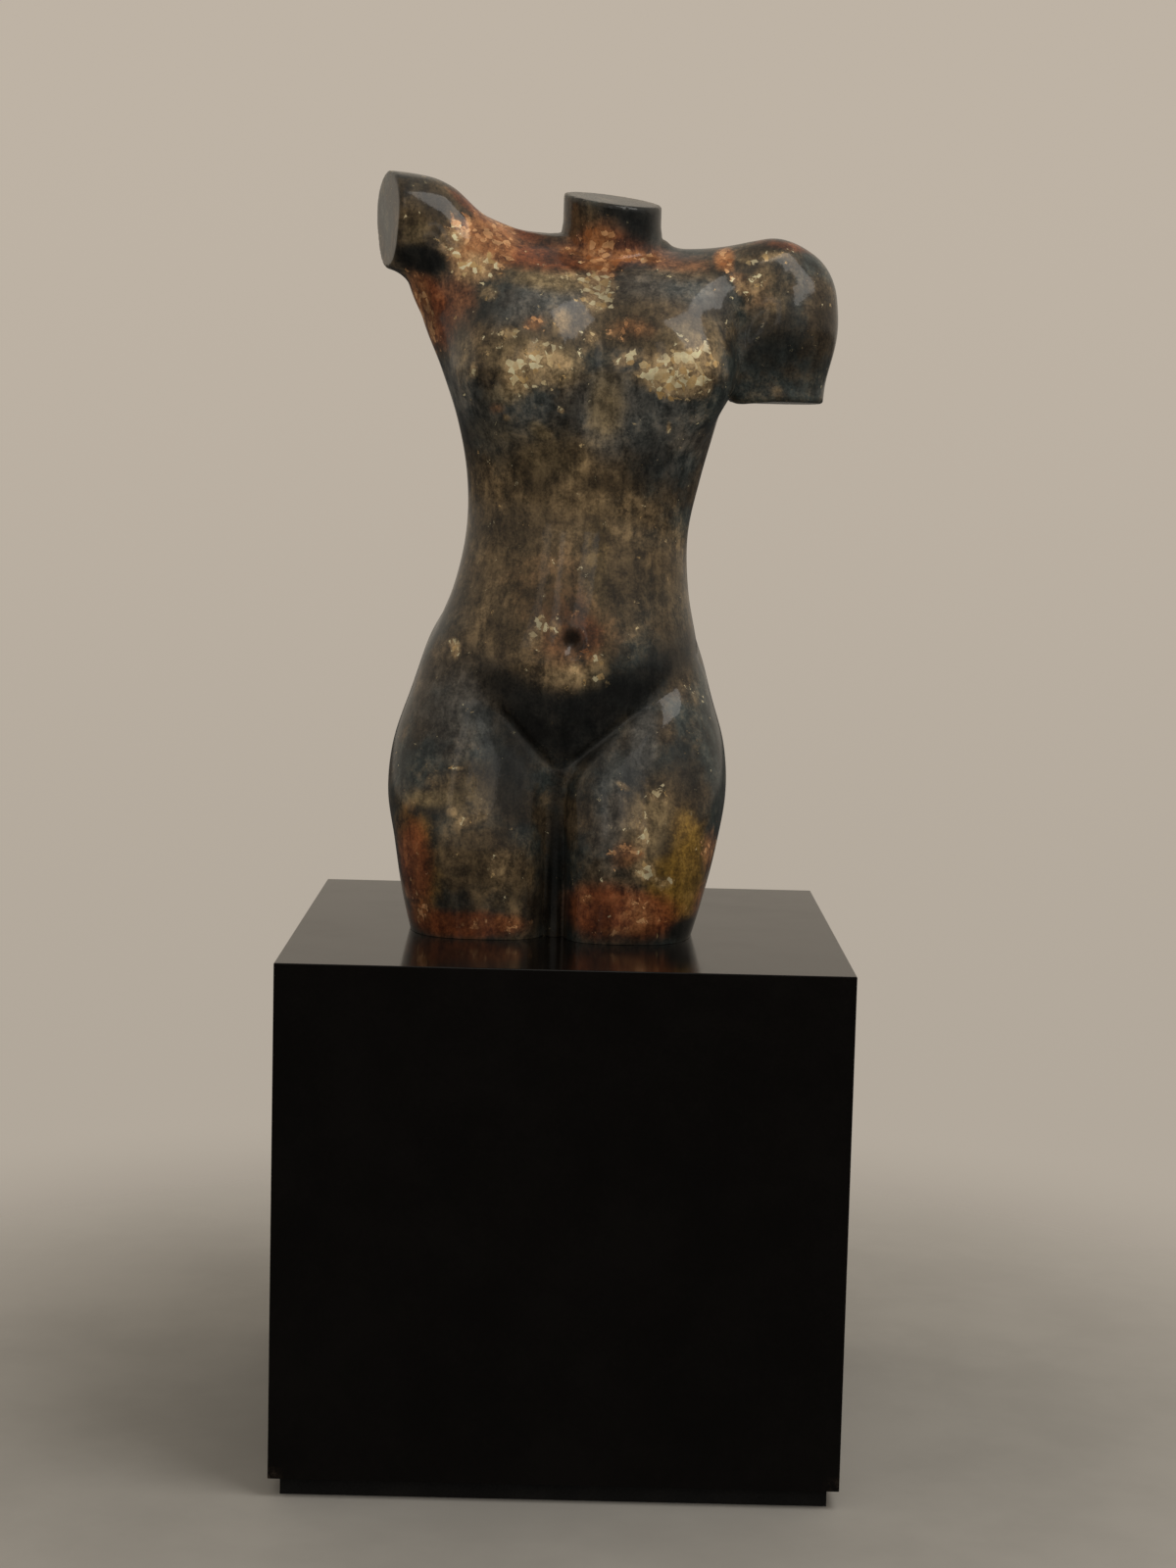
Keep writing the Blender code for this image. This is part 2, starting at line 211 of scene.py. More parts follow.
def ease(t: np.ndarray) -> np.ndarray:
    """Go from 0 to 1 with level ends: t squared times (3 - 2 t)."""
    t = np.clip(t, 0.0, 1.0)
    return t * t * (3.0 - 2.0 * t)


def bump(t: np.ndarray) -> np.ndarray:
    """Bell curve, 1 in its middle: e to the power of minus t squared."""
    return np.exp(-t * t)


def unit(v: Triple) -> np.ndarray:
    """Direction of a vector, one metre long."""
    v = np.array(v, dtype=float)
    return v / np.linalg.norm(v)


def curve_through(heights: np.ndarray, values: np.ndarray, z: np.ndarray) -> np.ndarray:
    """Smooth curve through one column of a table of sections.

    Each span is a cubic that has the values and the mean slopes at both of its ends.

    Args:
        heights: heights of the sections, rising.
        values: the column's value at each section.
        z: heights to work it out at.

    Returns:
        The column's value at each z.
    """
    slope = np.gradient(values, heights)
    i = np.clip(np.searchsorted(heights, z) - 1, 0, len(heights) - 2)
    step = heights[i + 1] - heights[i]
    t = np.clip((z - heights[i]) / step, 0.0, 1.0)
    s = 1.0 - t
    ends = s * s * (1.0 + 2.0 * t) * values[i] + t * t * (3.0 - 2.0 * t) * values[i + 1]
    return ends + step * s * t * (s * slope[i] - t * slope[i + 1])


def loft(
    p: np.ndarray, sections: Sections, inner_side: int = 0, inner_squareness: float = 2.0
) -> np.ndarray:
    """Distance to a body of squared ellipses stacked through the sections.

    At each height, across and deep are the shares of the way to the skin along x and y, and
    (across^n + deep^n)^(1/n) is 1 on the skin, with n the squareness.

    Args:
        p: x, y and z of the points.
        sections: rows of height, left, right, middle depth, front, back and squareness.
        inner_side: -1 or 1 for the side whose front is squarer, or 0 for none.
        inner_squareness: squareness of that side's front.

    Returns:
        The distance at each point, negative inside.
    """
    x, y, z = p
    table = np.array(sections)
    heights = table[:, 0]
    left, right, middle, front, back, square = (
        curve_through(heights, table[:, column], z) for column in range(1, 7)
    )
    dx = x - 0.5 * (left + right)
    dy = y - middle
    square = np.where((dx * inner_side > 0.0) & (dy < 0.0), inner_squareness, square)
    across = np.abs(dx) / (0.5 * (right - left))
    deep = np.abs(dy) / np.where(dy < 0.0, front, back)
    share = (across ** square + deep ** square) ** (1.0 / square)
    to_skin = (np.hypot(dx, dy) + LEAST_REACH) / (share + LEAST_SHARE)
    past_ends = np.maximum(heights[0] - z, z - heights[-1])
    return np.maximum((share - 1.0) * to_skin, past_ends)


def limb(
    p: np.ndarray, start: Triple, end: Triple, start_radius: float, end_radius: float,
    squareness: float = 2.0,
) -> np.ndarray:
    """Distance to a round-ended limb whose radius eases from one end to the other.

    Its ring is (a^n + b^n)^(1/n), with a and b the offsets from its axis and n the
    squareness, and past its ends the way along the axis counts too.

    Args:
        p: x, y and z of the points.
        start: the middle of its first end.
        end: the middle of its last end.
        start_radius: radius at the first end.
        end_radius: radius at the last end.
        squareness: 2 for a round limb, and more for a squarer one.

    Returns:
        The distance at each point, negative inside.
    """
    start = np.array(start)
    length = float(np.linalg.norm(np.array(end) - start))
    axis = unit(np.array(end) - start)
    deep = unit(np.array((0.0, 1.0, 0.0)) - axis * axis[1])
    side = np.cross(axis, deep)
    offset = [p[i] - start[i] for i in range(3)]
    along, a, b = (
        sum(offset[i] * direction[i] for i in range(3)) for direction in (axis, deep, side)
    )
    t = np.clip(along / length, 0.0, 1.0)
    radius = start_radius + (end_radius - start_radius) * ease(t)
    ring = (np.abs(a) ** squareness + np.abs(b) ** squareness) ** (1.0 / squareness)
    return np.hypot(ring, along - t * length) - radius


def ball(p: np.ndarray, middle: Triple, reach: Triple) -> np.ndarray:
    """Distance to an ellipsoid, true near its skin."""
    share = np.sqrt(sum(((p[i] - middle[i]) / reach[i]) ** 2 for i in range(3)))
    return (share - 1.0) * min(reach)


def plane(p: np.ndarray, flat_end: Ball) -> np.ndarray:
    """Distance past a flat end.

    Args:
        p: x, y and z of the points.
        flat_end: a point on it and the way it faces.

    Returns:
        The distance at each point, negative on the side that stays.
    """
    point, facing = flat_end
    facing = unit(facing)
    return sum((p[i] - point[i]) * facing[i] for i in range(3))


def join(a: np.ndarray, b: np.ndarray, blend: float) -> np.ndarray:
    """Join two bodies with a soft hollow between them, as deep as a quarter of blend."""
    near = np.maximum(blend - np.abs(a - b), 0.0) / blend
    return np.minimum(a, b) - near * near * blend * 0.25


def trim(a: np.ndarray, b: np.ndarray, blend: float) -> np.ndarray:
    """Keep what lies in both bodies, with a soft edge."""
    return -join(-a, -b, blend)


def furrow(p: np.ndarray, line: Line, width: float, depth: float) -> np.ndarray:
    """Depth of a soft furrow along a line seen from the front, shallower at its ends.

    Across the line it is depth times the bell curve of the offset over the width.

    Args:
        p: x, y and z of the points.
        line: x and z of the line's two ends.
        width: offset at which the depth has fallen to 37 %.
        depth: depth at its deepest.

    Returns:
        The depth at each point.
    """
    x, _, z = p
    (ax, az), (bx, bz) = line
    length = math.hypot(bx - ax, bz - az)
    ux, uz = (bx - ax) / length, (bz - az) / length
    t = np.clip(((x - ax) * ux + (z - az) * uz) / length, 0.0, 1.0)
    off = np.hypot(x - ax - ux * t * length, z - az - uz * t * length)
    fade = np.minimum(1.0, np.minimum(t, 1.0 - t) / FURROW_TAPER + FURROW_END)
    return depth * bump(off / width) * fade


@dataclass(frozen=True)
class TorsoForm:
    """The torso's forms as one distance, zero on its skin and negative inside.

    Figure coordinates: x runs from the line between the thighs, y from the middle of the
    body and z from the underside.
    """

    trunk: Sections = (
        (-0.030, -0.095, 0.100, -0.020, 0.050, 0.048, 2.3),
        (0.100, -0.130, 0.135, -0.014, 0.072, 0.074, 2.3),
        (0.190, -0.155, 0.160, -0.005, 0.093, 0.085, 2.3),
        (0.260, -0.153, 0.160, -0.005, 0.106, 0.088, 2.3),
        (0.320, -0.142, 0.154, -0.005, 0.107, 0.084, 2.3),
        (0.380, -0.119, 0.143, -0.004, 0.096, 0.079, 2.2),
        (0.445, -0.106, 0.141, -0.002, 0.086, 0.075, 2.2),
        (0.505, -0.107, 0.153, 0.000, 0.089, 0.080, 2.2),
        (0.565, -0.119, 0.169, 0.004, 0.098, 0.086, 2.2),
        (0.620, -0.138, 0.183, 0.010, 0.105, 0.088, 2.2),
        (0.675, -0.160, 0.196, 0.016, 0.100, 0.082, 2.2),
        (0.712, -0.167, 0.200, 0.021, 0.082, 0.068, 2.1),
        (0.742, -0.130, 0.176, 0.024, 0.048, 0.042, 2.0),
        (0.754, -0.060, 0.095, 0.026, 0.026, 0.024, 2.0),
    )
    left_thigh: Sections = (
        (-0.030, -0.151, -0.007, -0.036, 0.086, 0.086, 2.5),
        (0.040, -0.168, -0.007, -0.036, 0.092, 0.092, 2.5),
        (0.100, -0.178, -0.006, -0.033, 0.096, 0.097, 2.5),
        (0.150, -0.186, -0.004, -0.030, 0.092, 0.098, 2.4),
        (0.200, -0.182, 0.004, -0.024, 0.085, 0.096, 2.3),
        (0.260, -0.164, 0.014, -0.014, 0.086, 0.090, 2.2),
        (0.320, -0.144, 0.018, -0.006, 0.080, 0.080, 2.2),
        (0.400, -0.105, 0.020, -0.002, 0.066, 0.070, 2.2),
    )
    right_thigh: Sections = (
        (-0.030, 0.011, 0.146, -0.044, 0.092, 0.092, 2.5),
        (0.040, 0.011, 0.166, -0.044, 0.098, 0.097, 2.5),
        (0.100, 0.010, 0.180, -0.041, 0.102, 0.101, 2.5),
        (0.160, 0.006, 0.189, -0.036, 0.096, 0.102, 2.4),
        (0.210, -0.002, 0.185, -0.028, 0.089, 0.098, 2.3),
        (0.260, -0.010, 0.171, -0.016, 0.088, 0.092, 2.2),
        (0.320, -0.012, 0.156, -0.006, 0.082, 0.080, 2.2),
        (0.400, -0.012, 0.136, -0.002, 0.066, 0.070, 2.2),
    )
    thigh_inner_squareness: float = 3.6
    web_wall: Sections = (
        (-0.030, -0.024, 0.028, -0.020, 0.066, 0.050, 6.0),
        (0.080, -0.024, 0.028, -0.018, 0.072, 0.050, 6.0),
        (0.170, -0.024, 0.028, -0.012, 0.074, 0.050, 6.0),
        (0.250, -0.024, 0.028, -0.005, 0.060, 0.050, 6.0),
    )
    web_bar: Limb = ((0.002, -0.088, -0.030), (0.003, -0.087, 0.180), 0.0085, 0.0075)
    left_groin: Line = ((-0.004, 0.186), (-0.062, 0.250))
    right_groin: Line = ((0.012, 0.187), (0.094, 0.256))
    groin_width: float = 0.005
    groin_depth: float = 0.004
    groin_lift: float = 0.8
    groin_lift_start: float = -0.020
    seat: tuple[Ball, Ball] = (
        ((-0.078, 0.034, 0.165), (0.080, 0.078, 0.105)),
        ((0.082, 0.030, 0.172), (0.080, 0.080, 0.105)),
    )
    yokes: tuple[Limb, Limb] = (
        ((-0.091, 0.022, 0.727), (-0.030, 0.024, 0.7205), 0.054, 0.0425),
        ((-0.030, 0.024, 0.7205), (0.194, 0.018, 0.713), 0.0425, 0.0425),
    )
    pectorals: tuple[Limb, Limb] = (
        ((-0.020, -0.035, 0.680), (-0.125, -0.010, 0.738), 0.036, 0.034),
        ((0.090, -0.035, 0.675), (0.230, -0.014, 0.730), 0.036, 0.0375),
    )
    raised_arm: Limb = ((-0.151, 0.006, 0.7655), (-0.250, -0.002, 0.7885), 0.048, 0.048)
    hanging_arm: Limb = ((0.2385, 0.008, 0.706), (0.2335, 0.000, 0.560), 0.058, 0.051)
    neck: Limb = ((0.048, 0.032, 0.700), (0.048, 0.006, 0.860), 0.055, 0.054)
    raised_squareness: float = 2.2
    hanging_squareness: float = 2.5
    raised_shoulder: Ball = ((-0.197, 0.004, 0.793), (0.0845, 0.055, 0.0415))
    hanging_shoulder: Ball = ((0.236, 0.005, 0.6725), (0.056, 0.060, 0.055))
    breasts: tuple[Ball, Ball] = (
        ((-0.043, -0.070, 0.618), (0.066, 0.044, 0.062)),
        ((0.115, -0.070, 0.618), (0.066, 0.044, 0.062)),
    )
    neck_cut: Ball = ((0.046, 0.010, 0.809), (0.1105, -0.190, 0.977))
    raised_cut: Ball = ((-0.2005, 0.005, 0.775), (-0.955, -0.296, 0.0))
    hanging_cut: Ball = ((0.235, 0.0, 0.5905), (0.0, 0.0, -1.0))
    navel: tuple[float, float] = (0.014, 0.323)
    navel_reach: tuple[float, float] = (0.008, 0.010)
    navel_depth: float = 0.009
    belly_line: Line = ((0.016, 0.345), (0.040, 0.600))
    spine_line: Line = ((0.010, 0.260), (0.040, 0.720))
    line_width: float = 0.016
    belly_line_depth: float = 0.002
    spine_depth: float = 0.008
    side_fade: float = 0.030
    rim_radius: float = 0.003
    neck_fold_depth: float = 0.002
    neck_fold_width: float = 0.005
    front_clearance: float = 0.02
    blend: dict[str, float] = field(default_factory=lambda: {
        "groin": 0.035,
        "web": 0.004,
        "bar": 0.003,
        "hips": 0.012,
        "seat": 0.060,
        "seat_sides": 0.010,
        "yoke": 0.040,
        "yoke_halves": 0.020,
        "pectoral": 0.045,
        "raised_arm": 0.028,
        "raised_shoulder": 0.012,
        "hanging_shoulder": 0.030,
        "hanging_arm": 0.012,
        "breast": 0.045,
        "neck": 0.016,
    })

    def above_groin(self, p: np.ndarray, line: Line) -> np.ndarray:
        """Distance past the plane through a groin line, which climbs towards the back.

        Args:
            p: x, y and z of the points.
            line: x and z of the groin line's two ends.

        Returns:
            The distance at each point, positive above the groin.
        """
        (ax, az), (bx, bz) = line
        side = math.copysign(1.0, bx - ax)
        facing = (-side * (bz - az), 0.0, side * (bx - ax))
        climb = self.groin_lift * np.maximum(p[1] - self.groin_lift_start, 0.0)
        return plane(p, ((ax, 0.0, az), facing)) - climb

    def legs(self, p: np.ndarray) -> np.ndarray:
        """Distance to the thighs and the web between them.

        Args:
            p: x, y and z of the points.

        Returns:
            The distance at each point, negative inside.
        """
        blend = self.blend
        left = loft(p, self.left_thigh, 1, self.thigh_inner_squareness)
        left = trim(left, self.above_groin(p, self.left_groin), blend["groin"])
        right = loft(p, self.right_thigh, -1, self.thigh_inner_squareness)
        right = trim(right, self.above_groin(p, self.right_groin), blend["groin"])
        web = join(loft(p, self.web_wall), limb(p, *self.web_bar), blend["bar"])
        return join(join(left, right, blend["web"]), web, blend["web"])

    def flat_end(self, body: np.ndarray, past: np.ndarray) -> np.ndarray:
        """Cut a body off flat, its rim rounded to rim_radius.

        Args:
            body: distance to the body.
            past: distance past the flat end.

        Returns:
            The distance to what is left of the body.
        """
        r = self.rim_radius
        rim = np.hypot(np.maximum(body + r, 0.0), np.maximum(past + r, 0.0))
        return np.minimum(-r, np.maximum(body, past)) + rim

    def distance(self, p: np.ndarray) -> np.ndarray:
        """Distance to the whole torso but for its flat underside.

        The forms are joined one by one with soft minimums, the flat ends are cut, and the
        furrows and the navel are pressed in.

        Args:
            p: x, y and z of the points, as three arrays of one shape.

        Returns:
            The distance at each point, negative inside.
        """
        x, y, z = p
        blend = self.blend
        body = join(loft(p, self.trunk), self.legs(p), blend["hips"])
        seat = join(ball(p, *self.seat[0]), ball(p, *self.seat[1]), blend["seat_sides"])
        body = join(body, seat, blend["seat"])
        yoke = join(limb(p, *self.yokes[0]), limb(p, *self.yokes[1]), blend["yoke_halves"])
        body = join(body, yoke, blend["yoke"])
        for pectoral in self.pectorals:
            body = join(body, limb(p, *pectoral), blend["pectoral"])
        raised = limb(p, *self.raised_arm, self.raised_squareness)
        raised = join(raised, ball(p, *self.raised_shoulder), blend["raised_shoulder"])
        raised = self.flat_end(raised, plane(p, self.raised_cut))
        body = join(body, raised, blend["raised_arm"])
        hanging = limb(p, *self.hanging_arm, self.hanging_squareness)
        hanging = join(hanging, ball(p, *self.hanging_shoulder), blend["hanging_shoulder"])
        hanging = self.flat_end(hanging, plane(p, self.hanging_cut))
        body = join(body, hanging, blend["hanging_arm"])
        for breast in self.breasts:
            body = join(body, ball(p, *breast), blend["breast"])
        neck = limb(p, *self.neck)
        fold = self.neck_fold_depth * bump((body - neck) / self.neck_fold_width)
        body = join(body, neck, blend["neck"]) + fold
        body = self.flat_end(body, plane(p, self.neck_cut))
        front = ease(-y / self.side_fade)
        back = ease(y / self.side_fade)
        navel_x = (x - self.navel[0]) / self.navel_reach[0]
        navel_z = (z - self.navel[1]) / self.navel_reach[1]
        body = body + front * self.navel_depth * bump(np.hypot(navel_x, navel_z))
        for line in (self.left_groin, self.right_groin):
            body = body + front * furrow(p, line, self.groin_width, self.groin_depth)
        body = body + front * furrow(p, self.belly_line, self.line_width, self.belly_line_depth)
        return body + back * furrow(p, self.spine_line, self.line_width, self.spine_depth)

    def reach(self, margin: float) -> tuple[np.ndarray, np.ndarray]:
        """Work out a box clear of the whole skin.

        Args:
            margin: room left on every side.

        Returns:
            The box's lowest and highest corners.
        """
        table = np.array(self.trunk + self.left_thigh + self.right_thigh)
        low = (
            self.raised_cut[0][0] - self.raised_arm[2] - margin,
            (table[:, 3] - table[:, 4]).min() - self.front_clearance - margin,
            -margin,
        )
        high = (
            self.hanging_arm[0][0] + self.hanging_arm[2] + margin,
            (table[:, 3] + table[:, 5]).max() + margin,
            self.neck_cut[0][2] + self.raised_arm[2] + margin,
        )
        return np.array(low), np.array(high)


@dataclass
class SkinNet:
    """Four-sided faces over the surface where a distance is zero.

    One point lies in each lattice cell that the surface crosses, at the mean of the
    crossings of its edges, and is then moved along the slope onto the surface. Each lattice
    edge that the surface crosses carries one face. The distance is worked out once for each
    block of coarse by coarse by coarse lattice points first, and in full only near the surface.
    """

    form: TorsoForm
    step: float = 0.0034
    coarse: int = 3
    gradient_step: float = 0.0005
    moves: int = 4
    just_inside: float = 1e-6
    margin_steps: float = 4.0
    near_blocks: float = 2.0
    least_steepness: float = 0.25

    def lattice(self) -> tuple[list[np.ndarray], np.ndarray]:
        """Lay the lattice and work out the distance on it.

        Returns:
            The lattice's three axes, and the distance on it, exact near the surface.
        """
        low, high = self.form.reach(self.margin_steps * self.step)
        wide = self.step * self.coarse
        counts = np.ceil((high - low) / wide).astype(int) + 1
        axes = [low[i] + self.step * np.arange(counts[i] * self.coarse) for i in range(3)]
        middles = [low[i] + wide * (np.arange(counts[i]) + 0.5) - 0.5 * self.step
                   for i in range(3)]
        values = self.form.distance(np.array(np.meshgrid(*middles, indexing="ij")))
        for i in range(3):
            values = np.repeat(values, self.coarse, axis=i)
        near = np.abs(values) < self.near_blocks * wide
        places = np.nonzero(near)
        points = np.array([axes[i][places[i]] for i in range(3)])
        values[places] = self.form.distance(points)
        return axes, values

    def close_diagonals(self, values: np.ndarray) -> np.ndarray:
        """Fill each lattice square whose inside corners are only the two across from each other.

        Without this, two sheets of the surface would meet in one edge there.

        Args:
            values: the distance on the lattice, which is changed in place.

        Returns:
            The same array.
        """
        for _ in range(3):
            for axis in range(3):
                face = np.moveaxis(values, axis, 2)
                corners = [face[:-1, :-1], face[1:, 1:], face[1:, :-1], face[:-1, 1:]]
                a, b, c, d = (corner < 0.0 for corner in corners)
                diagonal = (a == b) & (c == d) & (a != c)
                for corner in corners:
                    corner[diagonal] = np.minimum(corner[diagonal], -self.just_inside)
        return values

    def slope(self, points: np.ndarray) -> np.ndarray:
        """Work out the slope of the distance from the differences across each point.

        Args:
            points: the points, one in each row.

        Returns:
            The slope along x, y and z, one row for each point.
        """
        found = np.empty_like(points)
        for i in range(3):
            shift = np.zeros(3)
            shift[i] = self.gradient_step
            ahead = self.form.distance((points + shift).T)
            behind = self.form.distance((points - shift).T)
            found[:, i] = (ahead - behind) / (2.0 * self.gradient_step)
        return found

    def onto_surface(self, points: np.ndarray) -> np.ndarray:
        """Move points along the slope of the distance until they lie on its surface.

        Args:
            points: the points, one in each row.

        Returns:
            The moved points.
        """
        for _ in range(self.moves):
            value = self.form.distance(points.T)
            slope = self.slope(points)
            steep = np.maximum((slope ** 2).sum(axis=1), self.least_steepness)
            points = points - slope * (value / steep)[:, None]
        return points

    def build(self) -> tuple[np.ndarray, np.ndarray]:
        """Work out the points and faces.

        Returns:
            The points, and for each face the numbers of its four points, turning outwards.
        """
        axes, values = self.lattice()
        values = self.close_diagonals(values)
        inside = values < 0.0
        corners = np.array(np.meshgrid((0, 1), (0, 1), (0, 1), indexing="ij")).reshape(3, 8).T
        cells = tuple(n - 1 for n in inside.shape)
        count = np.zeros(cells, dtype=int)
        for i, j, k in corners:
            count += inside[i:i + cells[0], j:j + cells[1], k:k + cells[2]]
        crossed = (count > 0) & (count < 8)
        index = np.full(cells, -1)
        index[crossed] = np.arange(crossed.sum())
        corner_cells = np.argwhere(crossed)[:, None, :] + corners[None, :, :]
        value = values[tuple(np.moveaxis(corner_cells, 2, 0))]
        places = np.array([axis[0] for axis in axes]) + corner_cells * self.step
        total = np.zeros((len(places), 3))
        crossings = np.zeros((len(places), 1))
        edges = [(a, b) for a in range(8) for b in range(a + 1, 8)
                 if np.abs(corners[a] - corners[b]).sum() == 1]
        for a, b in edges:
            crossing = (value[:, a] < 0.0) != (value[:, b] < 0.0)
            fall = np.where(crossing, value[:, a] - value[:, b], 1.0)
            t = np.where(crossing, value[:, a] / fall, 0.0)[:, None]
            total += (places[:, a] * (1.0 - t) + places[:, b] * t) * crossing[:, None]
            crossings += crossing[:, None]
        points = self.onto_surface(total / crossings)
        faces = []
        for axis in range(3):
            u, v = (axis + 1) % 3, (axis + 2) % 3
            here = np.moveaxis(inside, (axis, u, v), (0, 1, 2))
            cell = np.moveaxis(index, (axis, u, v), (0, 1, 2))
            change = here[:-1, 1:-1, 1:-1] != here[1:, 1:-1, 1:-1]
            leaving = here[:-1, 1:-1, 1:-1][change]
            quads = np.stack([
                cell[:, :-1, :-1][change],
                cell[:, 1:, :-1][change],
                cell[:, 1:, 1:][change],
                cell[:, :-1, 1:][change],
            ], axis=1)
            faces.append(np.where(leaving[:, None], quads, quads[:, ::-1]))
        return points, np.concatenate(faces)


class Wiring:
    """Short way to lay nodes in a node tree."""

    def __init__(self, tree: bpy.types.NodeTree) -> None:
        """Start from an empty tree."""
        self.tree = tree
        tree.nodes.clear()

    def add(
        self, kind: str, sockets: dict[str | int, object] | None = None, **settings: object
    ) -> bpy.types.Node:
        """Add a node.

        Args:
            kind: the node's type, without its prefix ShaderNode.
            sockets: for each input, a value or the socket to link to it.
            settings: the node's own settings.

        Returns:
            The node.
        """
        node = self.tree.nodes.new("ShaderNode" + kind)
        for name, value in settings.items():
            setattr(node, name, value)
        for name, value in (sockets or {}).items():
            self.feed(node.inputs[name], value)
        return node

    def feed(self, socket: bpy.types.NodeSocket, value: object) -> None:
        """Link a socket to another, or set its value.

        Args:
            socket: the input.
            value: the output to link to it, a colour of three values, or a plain value.
        """
        if isinstance(value, bpy.types.NodeSocket):
            self.tree.links.new(value, socket)
        elif isinstance(value, tuple) and len(value) == 3 and socket.type == "RGBA":
            socket.default_value = (*value, 1.0)
        else:
            socket.default_value = value

    def math(self, operation: str, a: object, b: object = 0.0) -> bpy.types.NodeSocket:
        """One sum of two values."""
        return self.add("Math", {0: a, 1: b}, operation=operation).outputs[0]

    def average(self, *shares: tuple[float, bpy.types.NodeSocket]) -> bpy.types.NodeSocket:
        """Add up values, each times its share.

        Args:
            shares: pairs of a share and a value.

        Returns:
            The sum.
        """
        total = 0.0
        for share, value in shares:
            total = self.math("ADD", total, self.math("MULTIPLY", value, share))
        return total

    def span(
        self, value: object, low: float, high: float, start: float = 0.0, end: float = 1.0
    ) -> bpy.types.NodeSocket:
        """Ease from start to end as value goes from low to high.

        Args:
            value: the value to read.
            low: where the easing starts.
            high: where it ends.
            start: the result at low and below.
            end: the result at high and above.

        Returns:
            The eased value.
        """
        node = self.add("MapRange", {
            "Value": value, "From Min": low, "From Max": high, "To Min": start, "To Max": end,
        }, interpolation_type="SMOOTHSTEP")
        return node.outputs["Result"]

    def blend(self, share: object, a: object, b: object) -> bpy.types.NodeSocket:
        """Mix two colours by a share of the second."""
        node = self.add("Mix", {0: share, 6: a, 7: b}, data_type="RGBA")
        return node.outputs[2]

    def scale(self, colour: object, by: object) -> bpy.types.NodeSocket:
        """Brighten or darken a colour by a value."""
        return self.add("VectorMath", {0: colour, "Scale": by}, operation="SCALE").outputs[0]

    def noise(
        self, vector: object, size: float, detail: float = 4.0, roughness: float = 0.55,
        distortion: float = 0.0,
    ) -> bpy.types.NodeSocket:
        """Lay a noise whose largest lumps are size metres across.

        Args:
            vector: the coordinates that it lies on.
            size: the lumps' size.
            detail: how many times finer lumps are added.
            roughness: how strongly each finer layer shows.
            distortion: how far the lumps are drawn about.

        Returns:
            The noise, about 0.5 in the mean.
        """
        node = self.add("TexNoise", {
            "Vector": vector, "Scale": 1.0 / size, "Detail": detail,
            "Roughness": roughness, "Distortion": distortion,
        })
        return node.outputs["Fac"]

    def stretched(self, vector: object, along: Triple) -> bpy.types.NodeSocket:
        """Coordinates with each axis drawn out, so that a pattern on them is too."""
        scale = tuple(1.0 / value for value in along)
        return self.add("Mapping", {"Vector": vector, "Scale": scale}).outputs["Vector"]


def new_finish(name: str) -> tuple[bpy.types.Material, Wiring]:
    """Make a material with an empty node tree.

    Args:
        name: the material's name.

    Returns:
        The material and the wiring of its tree.
    """
    finish = bpy.data.materials.new(name)
    finish.use_nodes = True
    return finish, Wiring(finish.node_tree)


